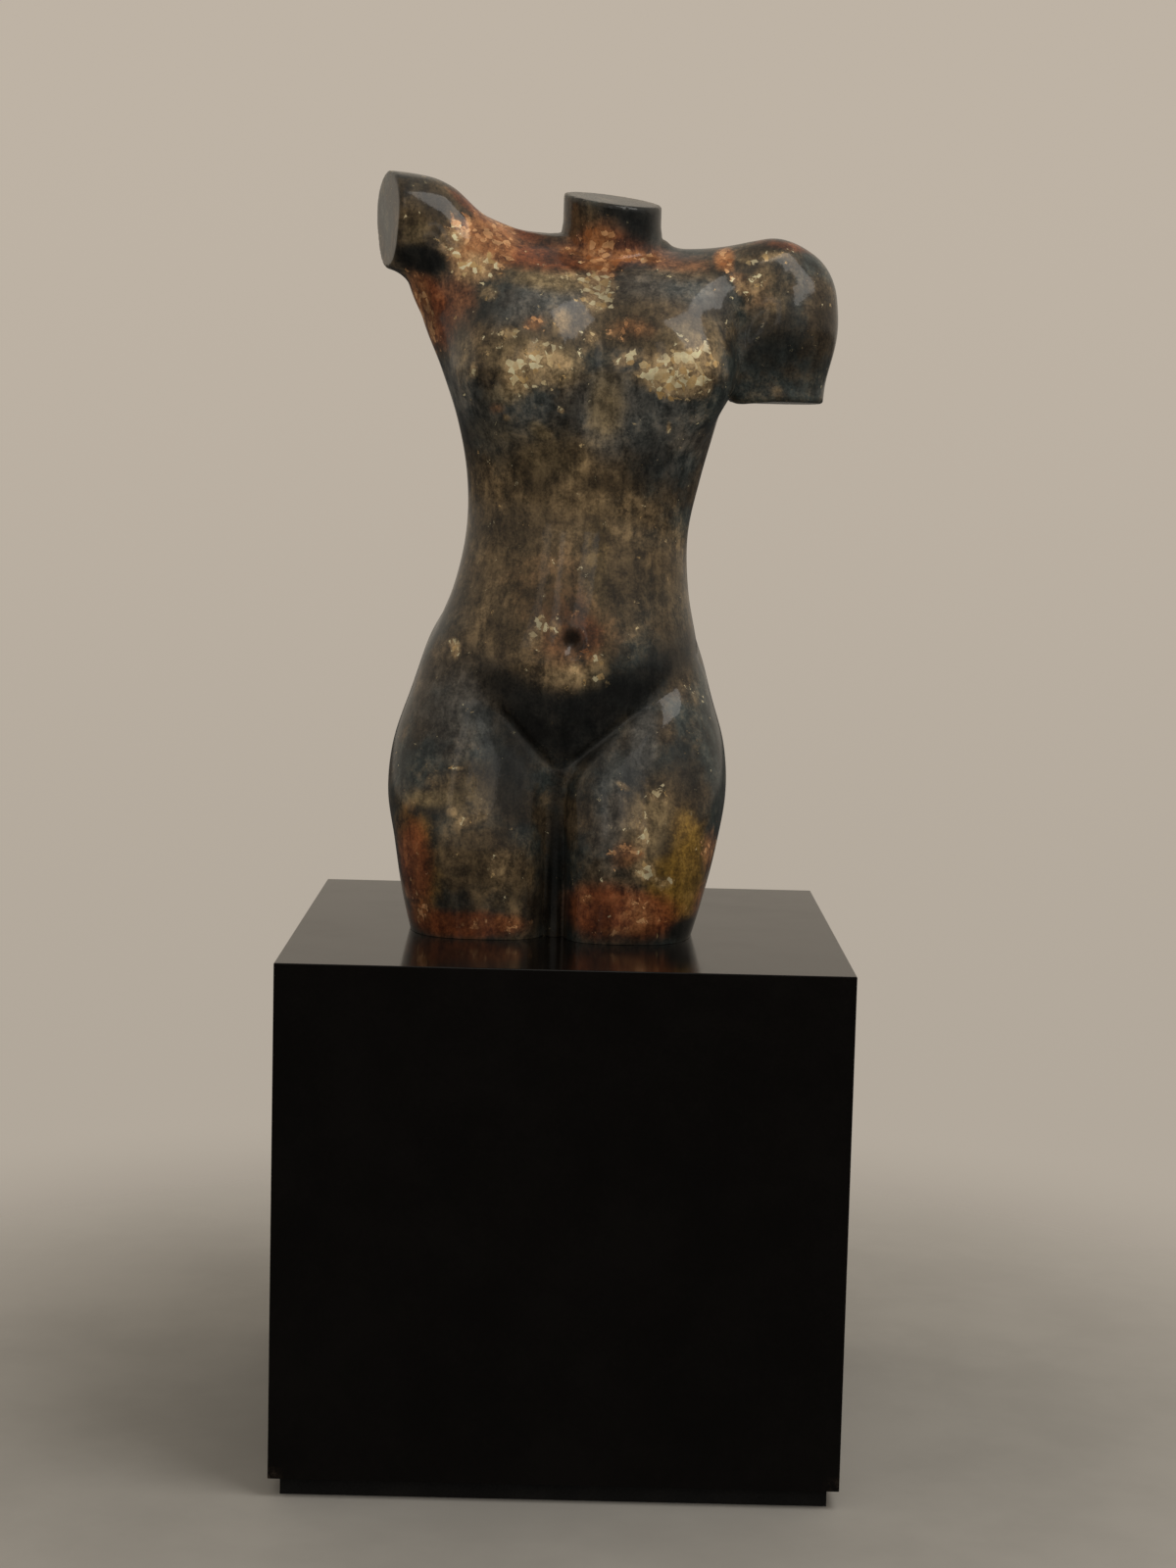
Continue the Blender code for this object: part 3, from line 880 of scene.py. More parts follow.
@dataclass(frozen=True)
class PatinaFinish:
    """Layered patina under a clear coat, with painted glints on its flakes.

    Each pigment lies where the torso's attribute named by its layer says, from 0 to 1, and
    its edge is broken by its grain. Lumps, widths and depths are in metres. A span is the
    stretch of a noise over which its effect grows.
    """

    cool_deep: Colour = (0.017, 0.024, 0.024)
    cool_light: Colour = (0.074, 0.090, 0.084)
    warm_deep: Colour = (0.030, 0.021, 0.012)
    warm_light: Colour = (0.150, 0.106, 0.060)
    speck: Colour = (0.520, 0.340, 0.150)
    pigments: tuple[Pigment, ...] = (
        # This first pigment also serves for painted reflections on the chest, shoulder and
        # thighs.
        Pigment("slate", (0.056, 0.061, 0.060), (0.225, 0.222, 0.205),
                Grain.STREAK, 0.9, 0.38, 0.80),
        Pigment("umber", (0.066, 0.042, 0.018), (0.262, 0.174, 0.082),
                Grain.STREAK, 0.7, 0.40, 0.86),
        # This pigment also serves for painted light at the sternum.
        Pigment("olive", (0.170, 0.118, 0.050), (0.520, 0.380, 0.190),
                Grain.CLOUD, 0.7, 0.42, 0.85),
        Pigment("ochre", (0.120, 0.062, 0.008), (0.430, 0.245, 0.035),
                Grain.CLOUD, 0.9, 0.32, 0.92),
        Pigment("rust", (0.115, 0.026, 0.008), (0.440, 0.120, 0.034),
                Grain.CLOUD, 0.9, 0.36, 0.92),
        Pigment("copper", (0.230, 0.078, 0.024), (0.680, 0.290, 0.105),
                Grain.CLOUD, 1.2, 0.34, 0.86, 0.10),
        Pigment("copper", (0.440, 0.160, 0.050), (0.950, 0.520, 0.240),
                Grain.FLAKE, 3.2, 0.035, 0.92, 0.20, 0.92),
        # This pigment also serves for a painted highlight at the navel.
        Pigment("gold", (0.230, 0.150, 0.070), (0.780, 0.545, 0.285),
                Grain.CLOUD, 1.5, 0.40, 0.80, 0.0, 0.40),
        Pigment("gold", (0.660, 0.430, 0.180), (1.000, 0.880, 0.560),
                Grain.FLAKE, 3.2, 0.035, 0.98, 0.20, 0.84),
        # This pigment also serves for painted shade in the V, between the thighs, the navel and
        # down the back.
        Pigment("soot", (0.003, 0.004, 0.004), (0.015, 0.016, 0.015),
                Grain.CLOUD, 0.7, 0.36, 0.95),
    )
    coat_weight: float = 0.72
    coat_roughness: float = 0.085
    coat_ior: float = 1.5
    roughness: float = 0.52
    specular: float = 0.28
    drift_scale: float = 60.0
    drift_reach: float = 0.011
    broad_lump: float = 0.055
    middle_lump: float = 0.013
    fine_lump: float = 0.0030
    streak_width: float = 0.011
    streak_stretch: Triple = (1.0, 1.0, 6.0)
    torn_lump: float = 0.0080
    shard: float = 0.0062
    tint_lump: float = 0.09
    speck_lump: float = 0.0046
    ripple_lump: float = 0.020
    tone_span: Span = (0.38, 0.62)
    painted_glint_span: Span = (0.25, 0.75)
    tint_span: Span = (0.42, 0.58)
    speck_span: Span = (0.63, 0.67)
    speck_patch: Span = (0.46, 0.60)
    speck_cover: Span = (0.0, 0.55)
    broad_span: Span = (0.36, 0.64)
    broad_shade: Span = (0.60, 1.36)
    streak_span: Span = (0.30, 0.70)
    streak_shade: Span = (0.90, 1.12)
    relief_strength: float = 0.12
    relief_depth: float = 0.0006
    ripple_strength: float = 0.16
    ripple_depth: float = 0.002

    def build(self) -> bpy.types.Material:
        """Lay the nodes of the patina.

        Returns:
            The material.
        """
        finish, w = new_finish("patinated_resin")
        place = w.add("TexCoord").outputs["Object"]
        drift = w.add("TexNoise", {"Vector": place, "Scale": self.drift_scale, "Detail": 2.0})
        drift = w.add("VectorMath", {0: drift.outputs["Color"], 1: (0.5, 0.5, 0.5)},
                      operation="SUBTRACT").outputs[0]
        drift = w.scale(drift, self.drift_reach)
        loose = w.add("VectorMath", {0: place, 1: drift}, operation="ADD").outputs[0]
        broad = w.noise(place, self.broad_lump, 7.0, 0.62, 0.5)
        middle = w.noise(loose, self.middle_lump, 6.0, 0.66)
        fine = w.noise(place, self.fine_lump, 4.0, 0.65)
        drawn_out = w.stretched(loose, self.streak_stretch)
        streak = w.noise(drawn_out, self.streak_width, 6.0, 0.65)
        torn = w.noise(place, self.torn_lump, 8.0, 0.74)
        shard = w.add("TexVoronoi", {"Vector": loose, "Scale": 1.0 / self.shard})
        shard = w.add("SeparateColor", {0: shard.outputs["Color"]})
        grains = {
            Grain.CLOUD: w.average((0.5, broad), (0.5, middle)),
            Grain.STREAK: w.average((0.35, streak), (0.65, middle)),
            Grain.FLAKE: w.average((0.42, shard.outputs[0]), (0.58, torn)),
        }
        tone = w.average((0.38, middle), (0.30, streak), (0.32, fine))
        tone = w.span(tone, *self.tone_span)
        # Painted glints: each flake's tone is picked at random, and the light flakes stand for
        # glints.
        painted_glint = w.span(w.average((0.6, shard.outputs[1]), (0.4, torn)), *self.painted_glint_span)
        cool = w.blend(tone, self.cool_deep, self.cool_light)
        warm = w.blend(tone, self.warm_deep, self.warm_light)
        tint = w.span(w.noise(place, self.tint_lump, 5.0, 0.6), *self.tint_span)
        colour = w.blend(tint, cool, warm)
        specks = w.span(w.noise(place, self.speck_lump, 6.0, 0.75), *self.speck_span)
        patches = w.span(broad, *self.speck_patch, *self.speck_cover)
        specks = w.math("MULTIPLY", specks, patches)
        colour = w.blend(specks, colour, self.speck)
        metal = 0.0
        for pigment in self.pigments:
            cover = w.add("Attribute", attribute_name=pigment.layer).outputs["Fac"]
            lift = w.math("MULTIPLY", w.math("SUBTRACT", grains[pigment.grain], 0.5),
                          pigment.ragged)
            mask = w.span(w.math("ADD", cover, lift), pigment.start - pigment.edge,
                          pigment.start + pigment.edge, 0.0, pigment.opacity)
            # Flakes take the painted glint for their tone.
            shade = painted_glint if pigment.grain is Grain.FLAKE else tone
            colour = w.blend(mask, colour, w.blend(shade, pigment.deep, pigment.light))
            if pigment.metal:
                metal = w.math("MAXIMUM", metal, w.math("MULTIPLY", mask, pigment.metal))
        colour = w.scale(colour, w.span(broad, *self.broad_span, *self.broad_shade))
        colour = w.scale(colour, w.span(streak, *self.streak_span, *self.streak_shade))
        relief = w.add("Bump", {
            "Strength": self.relief_strength, "Distance": self.relief_depth, "Height": torn,
        })
        ripple = w.add("Bump", {
            "Strength": self.ripple_strength,
            "Distance": self.ripple_depth,
            "Height": w.noise(place, self.ripple_lump, 4.0, 0.6),
        })
        shader = w.add("BsdfPrincipled", {
            "Base Color": colour,
            "Metallic": metal,
            "Roughness": self.roughness,
            "Specular IOR Level": self.specular,
            "Normal": relief.outputs[0],
            "Coat Weight": self.coat_weight,
            "Coat Roughness": self.coat_roughness,
            "Coat IOR": self.coat_ior,
            "Coat Normal": ripple.outputs[0],
        })
        w.add("OutputMaterial", {"Surface": shader.outputs[0]})
        return finish


@dataclass(frozen=True)
class GlossBlackFinish:
    """Polished black of the plinth box, warm where light catches it, rubbed at its feet."""

    black: Colour = (0.0052, 0.0042, 0.0035)
    warm: Colour = (0.0080, 0.0066, 0.0058)
    worn: Colour = (0.045, 0.030, 0.020)
    roughness: float = 0.090
    ior: float = 1.41
    half_width: float = 0.300
    foot: float = 0.022
    worn_height: float = 0.018
    worn_corner: Span = (0.020, 0.001)
    worn_dulling: float = 0.4
    smear_dulling: float = 1.8
    fine_lump: float = 0.0026
    cloud_lump: float = 0.09
    rub_lump: float = 0.010
    ripple_lump: float = 0.05
    ripple_strength: float = 0.05
    ripple_depth: float = 0.0004
    tone_span: Span = (0.38, 0.66)
    rub_span: Span = (0.42, 0.62)
    smear_span: Span = (0.35, 0.70)

    def build(self) -> bpy.types.Material:
        """Lay the nodes of the black gloss.

        Returns:
            The material.
        """
        finish, w = new_finish("black_gloss")
        place = w.add("TexCoord").outputs["Object"]
        axes = w.add("SeparateXYZ", {0: place})
        fine = w.noise(place, self.fine_lump, 3.0, 0.6)
        cloud = w.noise(place, self.cloud_lump, 6.0, 0.65)
        rub = w.noise(place, self.rub_lump, 6.0, 0.7)
        tone = w.span(w.average((0.6, cloud), (0.4, fine)), *self.tone_span)
        colour = w.blend(tone, self.black, self.warm)
        across = w.math("ABSOLUTE", axes.outputs[0])
        deep = w.math("ABSOLUTE", axes.outputs[1])
        corner_start, corner_end = (self.half_width - inset for inset in self.worn_corner)
        corner = w.span(w.math("MINIMUM", across, deep), corner_start, corner_end)
        low = w.span(axes.outputs[2], self.foot, self.foot + self.worn_height, 1.0, 0.0)
        worn = w.math("MULTIPLY", corner, low)
        worn = w.math("MULTIPLY", worn, w.span(rub, *self.rub_span))
        colour = w.blend(worn, colour, self.worn)
        dullest = self.roughness * self.smear_dulling
        smear = w.span(cloud, *self.smear_span, self.roughness, dullest)
        roughness = w.math("ADD", smear, w.math("MULTIPLY", worn, self.worn_dulling))
        ripple = w.add("Bump", {
            "Strength": self.ripple_strength,
            "Distance": self.ripple_depth,
            "Height": w.noise(place, self.ripple_lump, 2.0, 0.5),
        })
        shader = w.add("BsdfPrincipled", {
            "Base Color": colour,
            "Roughness": roughness,
            "IOR": self.ior,
            "Normal": ripple.outputs[0],
        })
        w.add("OutputMaterial", {"Surface": shader.outputs[0]})
        return finish


@dataclass(frozen=True)
class MattBlackFinish:
    """Dull black paint of the plinth's base, with a wood-fibre grain."""

    black: Colour = (0.0030, 0.0026, 0.0023)
    dusty: Colour = (0.0080, 0.0068, 0.0056)
    fibre_width: float = 0.003
    fibre_span: Span = (0.3, 0.7)
    fibre_depth: float = 0.0004
    fibre_strength: float = 0.3
    roughness: Span = (0.62, 0.82)
    dust_lump: float = 0.05
    dust_span: Span = (0.4, 0.7)

    def build(self) -> bpy.types.Material:
        """Lay the nodes of the dull black.

        Returns:
            The material.
        """
        finish, w = new_finish("base_black")
        place = w.add("TexCoord").outputs["Object"]
        fibre = w.noise(place, self.fibre_width, 5.0, 0.65)
        dust = w.noise(place, self.dust_lump, 4.0, 0.6)
        colour = w.blend(w.span(dust, *self.dust_span), self.black, self.dusty)
        relief = w.add("Bump", {
            "Strength": self.fibre_strength, "Distance": self.fibre_depth, "Height": fibre,
        })
        shader = w.add("BsdfPrincipled", {
            "Base Color": colour,
            "Roughness": w.span(fibre, *self.fibre_span, *self.roughness),
            "Normal": relief.outputs[0],
        })
        w.add("OutputMaterial", {"Surface": shader.outputs[0]})
        return finish


@dataclass
class TorsoSculpture:
    """The cast torso: its fine skin, its flat underside and its patina, with painted light in it.
    """

    form: TorsoForm = field(default_factory=TorsoForm)
    shift_x: float = -0.017
    ray_near: float = 2.85
    ray_far: float = 3.45
    ray_step: float = 0.002
    sharp_angle: float = 50.0
    weld: float = 1e-5
    dab_falloff: float = 0.7
    dab_power: int = 3
    front_until: float = 0.055
    back_from: float = -0.010
    side_fade: float = 0.045
    front_dabs: tuple[FrontDab, ...] = (
        # Raised stump
        *daubs("umber",
            (440, 212, 40, 26, 0.60), (470, 330, 26, 60, 0.60, 10), (520, 275, 54, 18, 0.50, -6)),
        *daubs("soot", (442, 206, 26, 14, 0.62, -20), (430, 264, 28, 14, 1.00, -12)),
        *daubs("olive", (424, 238, 14, 14, 0.45), (470, 250, 12, 18, 0.55, -20)),
        *daubs("rust",
            (486, 212, 28, 8, 0.90, -32), (524, 236, 34, 8, 0.80, -14),
            (441, 316, 15, 38, 0.95, 22), (468, 305, 24, 34, 0.50, 15),
            (548, 262, 42, 14, 0.62, -6), (525, 262, 46, 14, 0.45, -10)),
        *daubs("copper",
            (489, 250, 32, 32, 0.95), (507, 240, 16, 22, 0.90, -30),
            (432, 314, 11, 42, 0.75, 18)),
        *daubs("gold", (462, 246, 12, 14, 0.62, -40), (486, 272, 24, 15, 0.55)),
        # Neck
        *daubs("soot",
            (652, 222, 28, 22, 0.75), (640, 213, 36, 8, 0.70), (660, 236, 18, 22, 0.40)),
        *daubs("umber", (592, 226, 22, 20, 0.70)),
        *daubs("copper",
            (610, 242, 17, 10, 0.72), (600, 257, 34, 5, 0.52, -4), (645, 262, 32, 5, 0.80, -4),
            (613, 272, 17, 20, 0.90), (606, 296, 12, 14, 0.58), (655, 262, 18, 8, 0.50)),
        *daubs("rust",
            (625, 250, 52, 14, 0.50), (612, 232, 34, 18, 0.34), (610, 272, 44, 9, 0.45, 4)),
        *daubs("gold", (611, 300, 15, 18, 0.95), (600, 286, 26, 8, 0.50, -10)),
        # Chest
        # The last of these, at the sternum, is painted light: it lifts the shade under the chest.
        *daubs("olive",
            (562, 284, 42, 15, 0.72, -8), (700, 350, 32, 26, 0.60), (530, 362, 36, 22, 0.60),
            (574, 372, 18, 20, 0.60), (552, 440, 14, 8, 0.60, -30), (516, 402, 30, 12, 0.50, 20),
            (470, 360, 10, 34, 0.35, 8), (618, 412, 20, 38, 0.66)),
        # Painted reflections: these grey dabs at the sternum, upper right chest and left flank.
        *daubs("slate",
            (555, 318, 54, 30, 0.85), (690, 300, 66, 32, 0.60, -10), (618, 412, 60, 26, 0.50),
            (618, 425, 24, 44, 0.90), (469, 365, 16, 54, 1.00, 8), (655, 330, 40, 26, 0.55, -25)),
        *daubs("umber",
            (648, 330, 60, 30, 0.80), (700, 275, 50, 14, 0.60), (695, 345, 44, 32, 0.85),
            (560, 345, 50, 30, 0.60)),
        *daubs("copper",
            (645, 334, 28, 15, 0.50), (739, 264, 10, 14, 0.85), (757, 290, 9, 16, 0.50, 30),
            (505, 416, 10, 7, 0.45), (545, 330, 12, 10, 0.50)),
        *daubs("rust", (690, 268, 46, 12, 0.45, -6)),
        *daubs("gold",
            (756, 292, 6, 10, 0.50, 30), (694, 376, 32, 22, 0.68), (680, 389, 20, 9, 0.95, -14),
            (714, 372, 13, 24, 0.85), (540, 376, 28, 16, 0.62, -20), (529, 386, 13, 12, 0.90),
            (552, 360, 16, 12, 0.85, 20), (520, 340, 8, 7, 0.72), (572, 330, 8, 12, 0.55, -20),
            (575, 370, 8, 10, 0.50, 40), (640, 367, 13, 6, 0.72, 20), (573, 419, 3, 3),
            (683, 437, 2, 5, 0.80), (516, 426, 3, 3, 0.70), (483, 378, 5, 8, 0.55),
            (688, 386, 27, 15, 1.00, -8), (498, 300, 10, 8, 0.50), (604, 344, 9, 6, 0.50, 30)),
        *daubs("soot", (648, 348, 26, 10, 0.40)),
        # Hanging arm
        *daubs("umber", (782, 296, 32, 38, 0.52), (790, 330, 20, 20, 0.50)),
        *daubs("olive", (780, 290, 18, 26, 0.26, 10)),
        *daubs("soot", (785, 345, 38, 30, 0.45), (805, 372, 40, 34, 0.35)),
        *daubs("rust", (775, 300, 20, 26, 0.25), (800, 250, 34, 6, 0.60, -8)),
        *daubs("gold", (778, 262, 24, 5, 0.50, 10), (770, 288, 9, 14, 0.40, -30)),
        # Painted highlight: a grey patch on top of the shoulder.
        *daubs("slate", (812, 278, 24, 20, 0.15, -30)),
        # Ribs and belly
        *daubs("umber",
            (560, 545, 90, 90, 0.95), (640, 590, 58, 68, 0.62), (515, 620, 55, 60, 0.85),
            (560, 480, 40, 30, 0.60), (690, 600, 20, 60, 0.48)),
        *daubs("olive",
            (608, 592, 13, 62, 0.55), (612, 655, 14, 34, 0.50), (560, 470, 36, 20, 0.45),
            (505, 440, 30, 16, 0.40, -10)),
        *daubs("slate",
            (500, 622, 34, 50, 0.50), (575, 560, 30, 50, 0.35), (640, 430, 50, 26, 0.35),
            (520, 430, 44, 36, 0.60), (682, 445, 40, 50, 0.60)),
        *daubs("soot", (668, 478, 34, 40, 0.42, 12), (505, 440, 34, 28, 0.45)),
        *daubs("rust", (560, 600, 60, 50, 0.25)),
        *daubs("ochre", (610, 560, 16, 40, 0.35)),
        # Navel: the small dark dab is painted shade in its hollow, the tiny gold one a painted
        # highlight
        *daubs("copper",
            (590, 640, 34, 22, 0.24), (600, 668, 12, 12, 0.40), (588, 706, 24, 12, 0.22)),
        *daubs("rust", (590, 650, 44, 36, 0.40), (603, 648, 12, 16, 0.45, 20)),
        *daubs("soot", (584, 651, 11, 13, 0.74)),
        *daubs("gold",
            (566, 640, 6, 9, 0.55, 10), (592, 696, 25, 15, 0.36), (612, 676, 8, 10, 0.45, 30),
            (586, 683, 4, 4, 0.80), (551, 636, 5, 8, 0.85), (545, 650, 8, 10, 0.50),
            (465, 662, 4, 9, 0.95), (461, 655, 4, 4, 0.80)),
        *daubs("olive", (592, 690, 34, 22, 0.32)),
        *daubs("umber", (580, 650, 40, 36, 0.50)),
        # Lower abdomen: painted shade, darkening the hollow of the V above the thighs
        *daubs("soot",
            (575, 738, 56, 36, 0.95), (640, 705, 56, 22, 0.85, 32), (518, 700, 40, 20, 0.70, -35),
            (690, 655, 34, 34, 0.50), (600, 770, 20, 22, 0.50)),
        # Thigh, viewer's left
        # The first dab below is a painted reflection, a grey strip down the thigh.
        *daubs("slate", (466, 730, 42, 52, 0.62), (505, 820, 12, 22, 0.50, -10)),
        *daubs("umber",
            (482, 805, 36, 28, 0.75), (470, 880, 34, 44, 0.60), (520, 895, 36, 44, 0.62),
            (596, 800, 12, 60, 0.30)),
        *daubs("olive", (476, 812, 30, 20, 0.50), (434, 816, 26, 8, 0.72)),
        *daubs("gold",
            (461, 828, 5, 5, 0.85), (467, 784, 7, 2, 0.70), (480, 835, 16, 6, 0.40, 20),
            (508, 882, 12, 14, 0.30)),
        *daubs("rust", (424, 880, 19, 50, 0.85, 6), (470, 943, 60, 14, 0.95)),
        *daubs("ochre", (424, 846, 22, 30, 0.58, 6), (436, 905, 20, 34, 0.55)),
        *daubs("copper",
            (424, 886, 11, 28, 0.34, 6), (505, 942, 36, 8, 0.45), (430, 930, 12, 14, 0.50)),
        *daubs("soot",
            (418, 948, 12, 10, 0.70), (545, 930, 14, 30, 0.60), (520, 800, 28, 46, 0.72)),
        # Thigh, viewer's right
        # Both dabs below are painted reflections, grey strips down the thigh.
        *daubs("slate", (622, 810, 20, 80, 0.56), (657, 756, 14, 46, 0.85)),
        *daubs("umber", (676, 840, 38, 52, 0.85)),
        *daubs("olive", (664, 845, 26, 40, 0.60)),
        *daubs("gold",
            (654, 848, 9, 18, 0.80), (657, 888, 10, 8, 0.95, -20), (668, 812, 10, 6, 0.60),
            (636, 802, 7, 3, 0.70, -30), (661, 800, 4, 8, 0.40), (676, 900, 10, 6, 0.50)),
        *daubs("copper",
            (640, 872, 18, 14, 0.60, 20), (724, 872, 9, 30, 0.50), (598, 918, 8, 6, 0.60),
            (655, 935, 24, 18, 0.50), (628, 950, 26, 5, 0.50)),
        # The long thin dab below, between the thighs, is painted shade in the groove there.
        *daubs("soot",
            (679, 864, 12, 18, 0.50), (700, 948, 20, 12), (566, 880, 9, 86, 0.72),
            (702, 788, 20, 42, 0.58, 8)),
        *daubs("ochre", (690, 906, 30, 34), (700, 860, 20, 40, 0.70)),
        *daubs("rust", (612, 930, 34, 27), (660, 935, 34, 24, 0.90), (716, 920, 10, 26, 0.60)),
    )
    back_dabs: tuple[Dab, ...] = (
        Dab("slate", 0.030, 0.690, 0.120, 0.055, 0.85),
        Dab("umber", -0.080, 0.640, 0.070, 0.080, 0.85),
        Dab("umber", 0.120, 0.560, 0.070, 0.100, 0.80),
        Dab("umber", 0.020, 0.420, 0.110, 0.110, 0.90),
        Dab("olive", 0.060, 0.480, 0.020, 0.080, 0.50),
        Dab("olive", -0.060, 0.660, 0.050, 0.030, 0.65, 15.0),
        Dab("gold", -0.070, 0.655, 0.030, 0.020, 0.70, 20.0),
        Dab("gold", 0.130, 0.640, 0.024, 0.018, 0.60, -15.0),
        Dab("copper", -0.130, 0.750, 0.045, 0.028, 0.85, -20.0),
        Dab("rust", -0.150, 0.720, 0.050, 0.050, 0.80),
        Dab("copper", 0.046, 0.735, 0.050, 0.014, 0.75),
        Dab("soot", 0.046, 0.785, 0.050, 0.026, 0.70),
        Dab("umber", 0.240, 0.680, 0.045, 0.060, 0.80),
        # Painted shade down the spine's furrow.
        Dab("soot", 0.030, 0.560, 0.016, 0.140, 0.55, -4.0),
        Dab("slate", -0.090, 0.230, 0.080, 0.070, 0.70),
        Dab("slate", 0.100, 0.240, 0.080, 0.070, 0.70),
        Dab("umber", -0.080, 0.150, 0.060, 0.050, 0.75),
        Dab("olive", -0.070, 0.170, 0.040, 0.030, 0.55),
        Dab("gold", -0.060, 0.165, 0.018, 0.014, 0.60, 30.0),
        Dab("umber", 0.110, 0.140, 0.060, 0.060, 0.75),
        Dab("ochre", 0.120, 0.090, 0.050, 0.045, 0.85),
        Dab("copper", 0.150, 0.110, 0.020, 0.050, 0.70),
        Dab("rust", -0.090, 0.040, 0.080, 0.035, 0.95),
        Dab("rust", 0.090, 0.035, 0.070, 0.030, 0.90),
        Dab("copper", -0.150, 0.080, 0.025, 0.050, 0.70),
        # Painted shade in the crease between the legs and along the torso's foot.
        Dab("soot", 0.004, 0.110, 0.016, 0.120, 0.85),
        Dab("soot", 0.000, 0.010, 0.180, 0.010, 0.60),
    )

    def build(self, node: str) -> bpy.types.Object:
        """Build the torso where its solid stands.

        Args:
            node: the solid's name.

        Returns:
            The new piece, with its dabs as attributes.
        """
        low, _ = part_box(node)
        points, faces = SkinNet(self.form).build()
        mesh = bpy.data.meshes.new("torso_skin")
        mesh.from_pydata(points.tolist(), [], faces.tolist())
        self.cut_underside(mesh)
        count = len(mesh.vertices)
        flat = np.empty(count * 3, dtype=np.float32)
        mesh.vertices.foreach_get("co", flat)
        points = flat.reshape(count, 3).astype(float)
        place = np.array((self.shift_x, 0.0, low.z))
        self.put_coverage(mesh, points, self.land_dabs(place) + self.back_dabs)
        moved = points + place
        mesh.vertices.foreach_set("co", moved.astype(np.float32).ravel())
        mesh.update()
        mesh.shade_smooth()
        mesh.set_sharp_from_angle(angle=math.radians(self.sharp_angle))
        torso = bpy.data.objects.new("torso_sculpture", mesh)
        bpy.context.scene.collection.objects.link(torso)
        return torso

    def cut_underside(self, mesh: bpy.types.Mesh) -> None:
        """Cut the skin off at height 0 and close it with one flat face, in triangles.

        Args:
            mesh: the skin, in figure coordinates.
        """
        bm = bmesh.new()
        bm.from_mesh(mesh)
        cut = bmesh.ops.bisect_plane(
            bm, geom=bm.verts[:] + bm.edges[:] + bm.faces[:], dist=self.weld,
            plane_co=(0.0, 0.0, 0.0), plane_no=(0.0, 0.0, -1.0), clear_outer=True,
        )
        rim = [item for item in cut["geom_cut"] if isinstance(item, bmesh.types.BMEdge)]
        cap = bmesh.ops.contextual_create(bm, geom=rim)["faces"]
        bmesh.ops.recalc_face_normals(bm, faces=bm.faces[:])
        bmesh.ops.triangulate(bm, faces=cap, ngon_method="EAR_CLIP")
        bm.to_mesh(mesh)
        bm.free()

    def land_dabs(self, place: np.ndarray) -> tuple[Dab, ...]:
        """Put the front dabs on the skin.

        The distance to the skin is worked out at steps along the eye's ray through each dab.
        The dab lands at the first step inside the skin, or at the nearest one where the ray
        passes beside the torso. A pixel there is as wide as the depth over the focal length.

        Args:
            place: where the torso's own origin stands.

        Returns:
            The dabs in figure coordinates.
        """
        eye = Eye()
        seen = np.array([(dab.frame_x, dab.frame_y) for dab in self.front_dabs], dtype=float)
        rays = eye.rays(*seen.T)
        depth = np.arange(self.ray_near, self.ray_far, self.ray_step)
        start = np.array(eye.place) - place
        points = start[:, None, None] + rays[:, :, None] * depth
        value = self.form.distance(points)
        inside = value < 0.0
        step = np.where(inside.any(axis=1), inside.argmax(axis=1), value.argmin(axis=1))
        x, _, z = points[:, np.arange(len(step)), step]
        pixel = depth[step] / eye.focal_px
        return tuple(
            Dab(dab.pigment, x[i], z[i], dab.reach_x * pixel[i], dab.reach_y * pixel[i],
                dab.strength, dab.turn, Side.FRONT)
            for i, dab in enumerate(self.front_dabs)
        )

    def put_coverage(
        self, mesh: bpy.types.Mesh, points: np.ndarray, dabs: tuple[Dab, ...]
    ) -> None:
        """Write each pigment's coverage, from 0 to 1, as an attribute of the points.

        A dab is strength times e to the power of minus dab_falloff times its oval distance to
        the power dab_power, faded where the skin turns to the other side. Dabs of one pigment
        add up as 1 - (1 - a)(1 - b).

        Args:
            mesh: the torso's mesh.
            points: its points in figure coordinates.
            dabs: all the dabs of both sides.
        """
        x, y, z = points.T
        sides = {
            Side.FRONT: ease((self.front_until - y) / self.side_fade),
            Side.BACK: ease((y - self.back_from) / self.side_fade),
        }
        for name in sorted({dab.pigment for dab in dabs}):
            bare = np.ones(len(points))
            for dab in dabs:
                if dab.pigment != name:
                    continue
                turn = math.radians(dab.turn)
                u = (x - dab.x) * math.cos(turn) + (z - dab.z) * math.sin(turn)
                v = (z - dab.z) * math.cos(turn) - (x - dab.x) * math.sin(turn)
                oval = np.hypot(u / dab.reach_x, v / dab.reach_z)
                soft = np.exp(-self.dab_falloff * oval ** self.dab_power)
                bare *= 1.0 - dab.strength * soft * sides[dab.side]
            layer = mesh.attributes.new(name, "FLOAT", "POINT")
            layer.data.foreach_set("value", (1.0 - bare).astype(np.float32))

    def dress(self, torso: bpy.types.Object) -> None:
        """Give the torso its patina and its place in the frame.

        Args:
            torso: the torso's piece.
        """
        torso.data.materials.append(PatinaFinish().build())
        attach(torso, "root")
        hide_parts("torso")


@dataclass
class Plinth:
    """The plinth's box and base, which keep their solids."""

    box: str = "plinth_box"
    base: str = "plinth_base"

    def dress(self, nodes: dict[str, bpy.types.Object]) -> None:
        """Give both solids their finishes.

        Args:
            nodes: the frame's solids by name.
        """
        finishes = {self.box: GlossBlackFinish().build(), self.base: MattBlackFinish().build()}
        for name, finish in finishes.items():
            slots = nodes[name].data.materials
            slots.clear()
            slots.append(finish)


@dataclass(frozen=True)
class Lamp:
    """A soft rectangular lamp: its middle, what it faces, its size and its face's glow.

    A glow of 1 is white.
    """

    name: str
    place: Triple
    aim: Triple
    size: tuple[float, float]
    glow: float
    colour: Colour = (1.0, 0.96, 0.90)


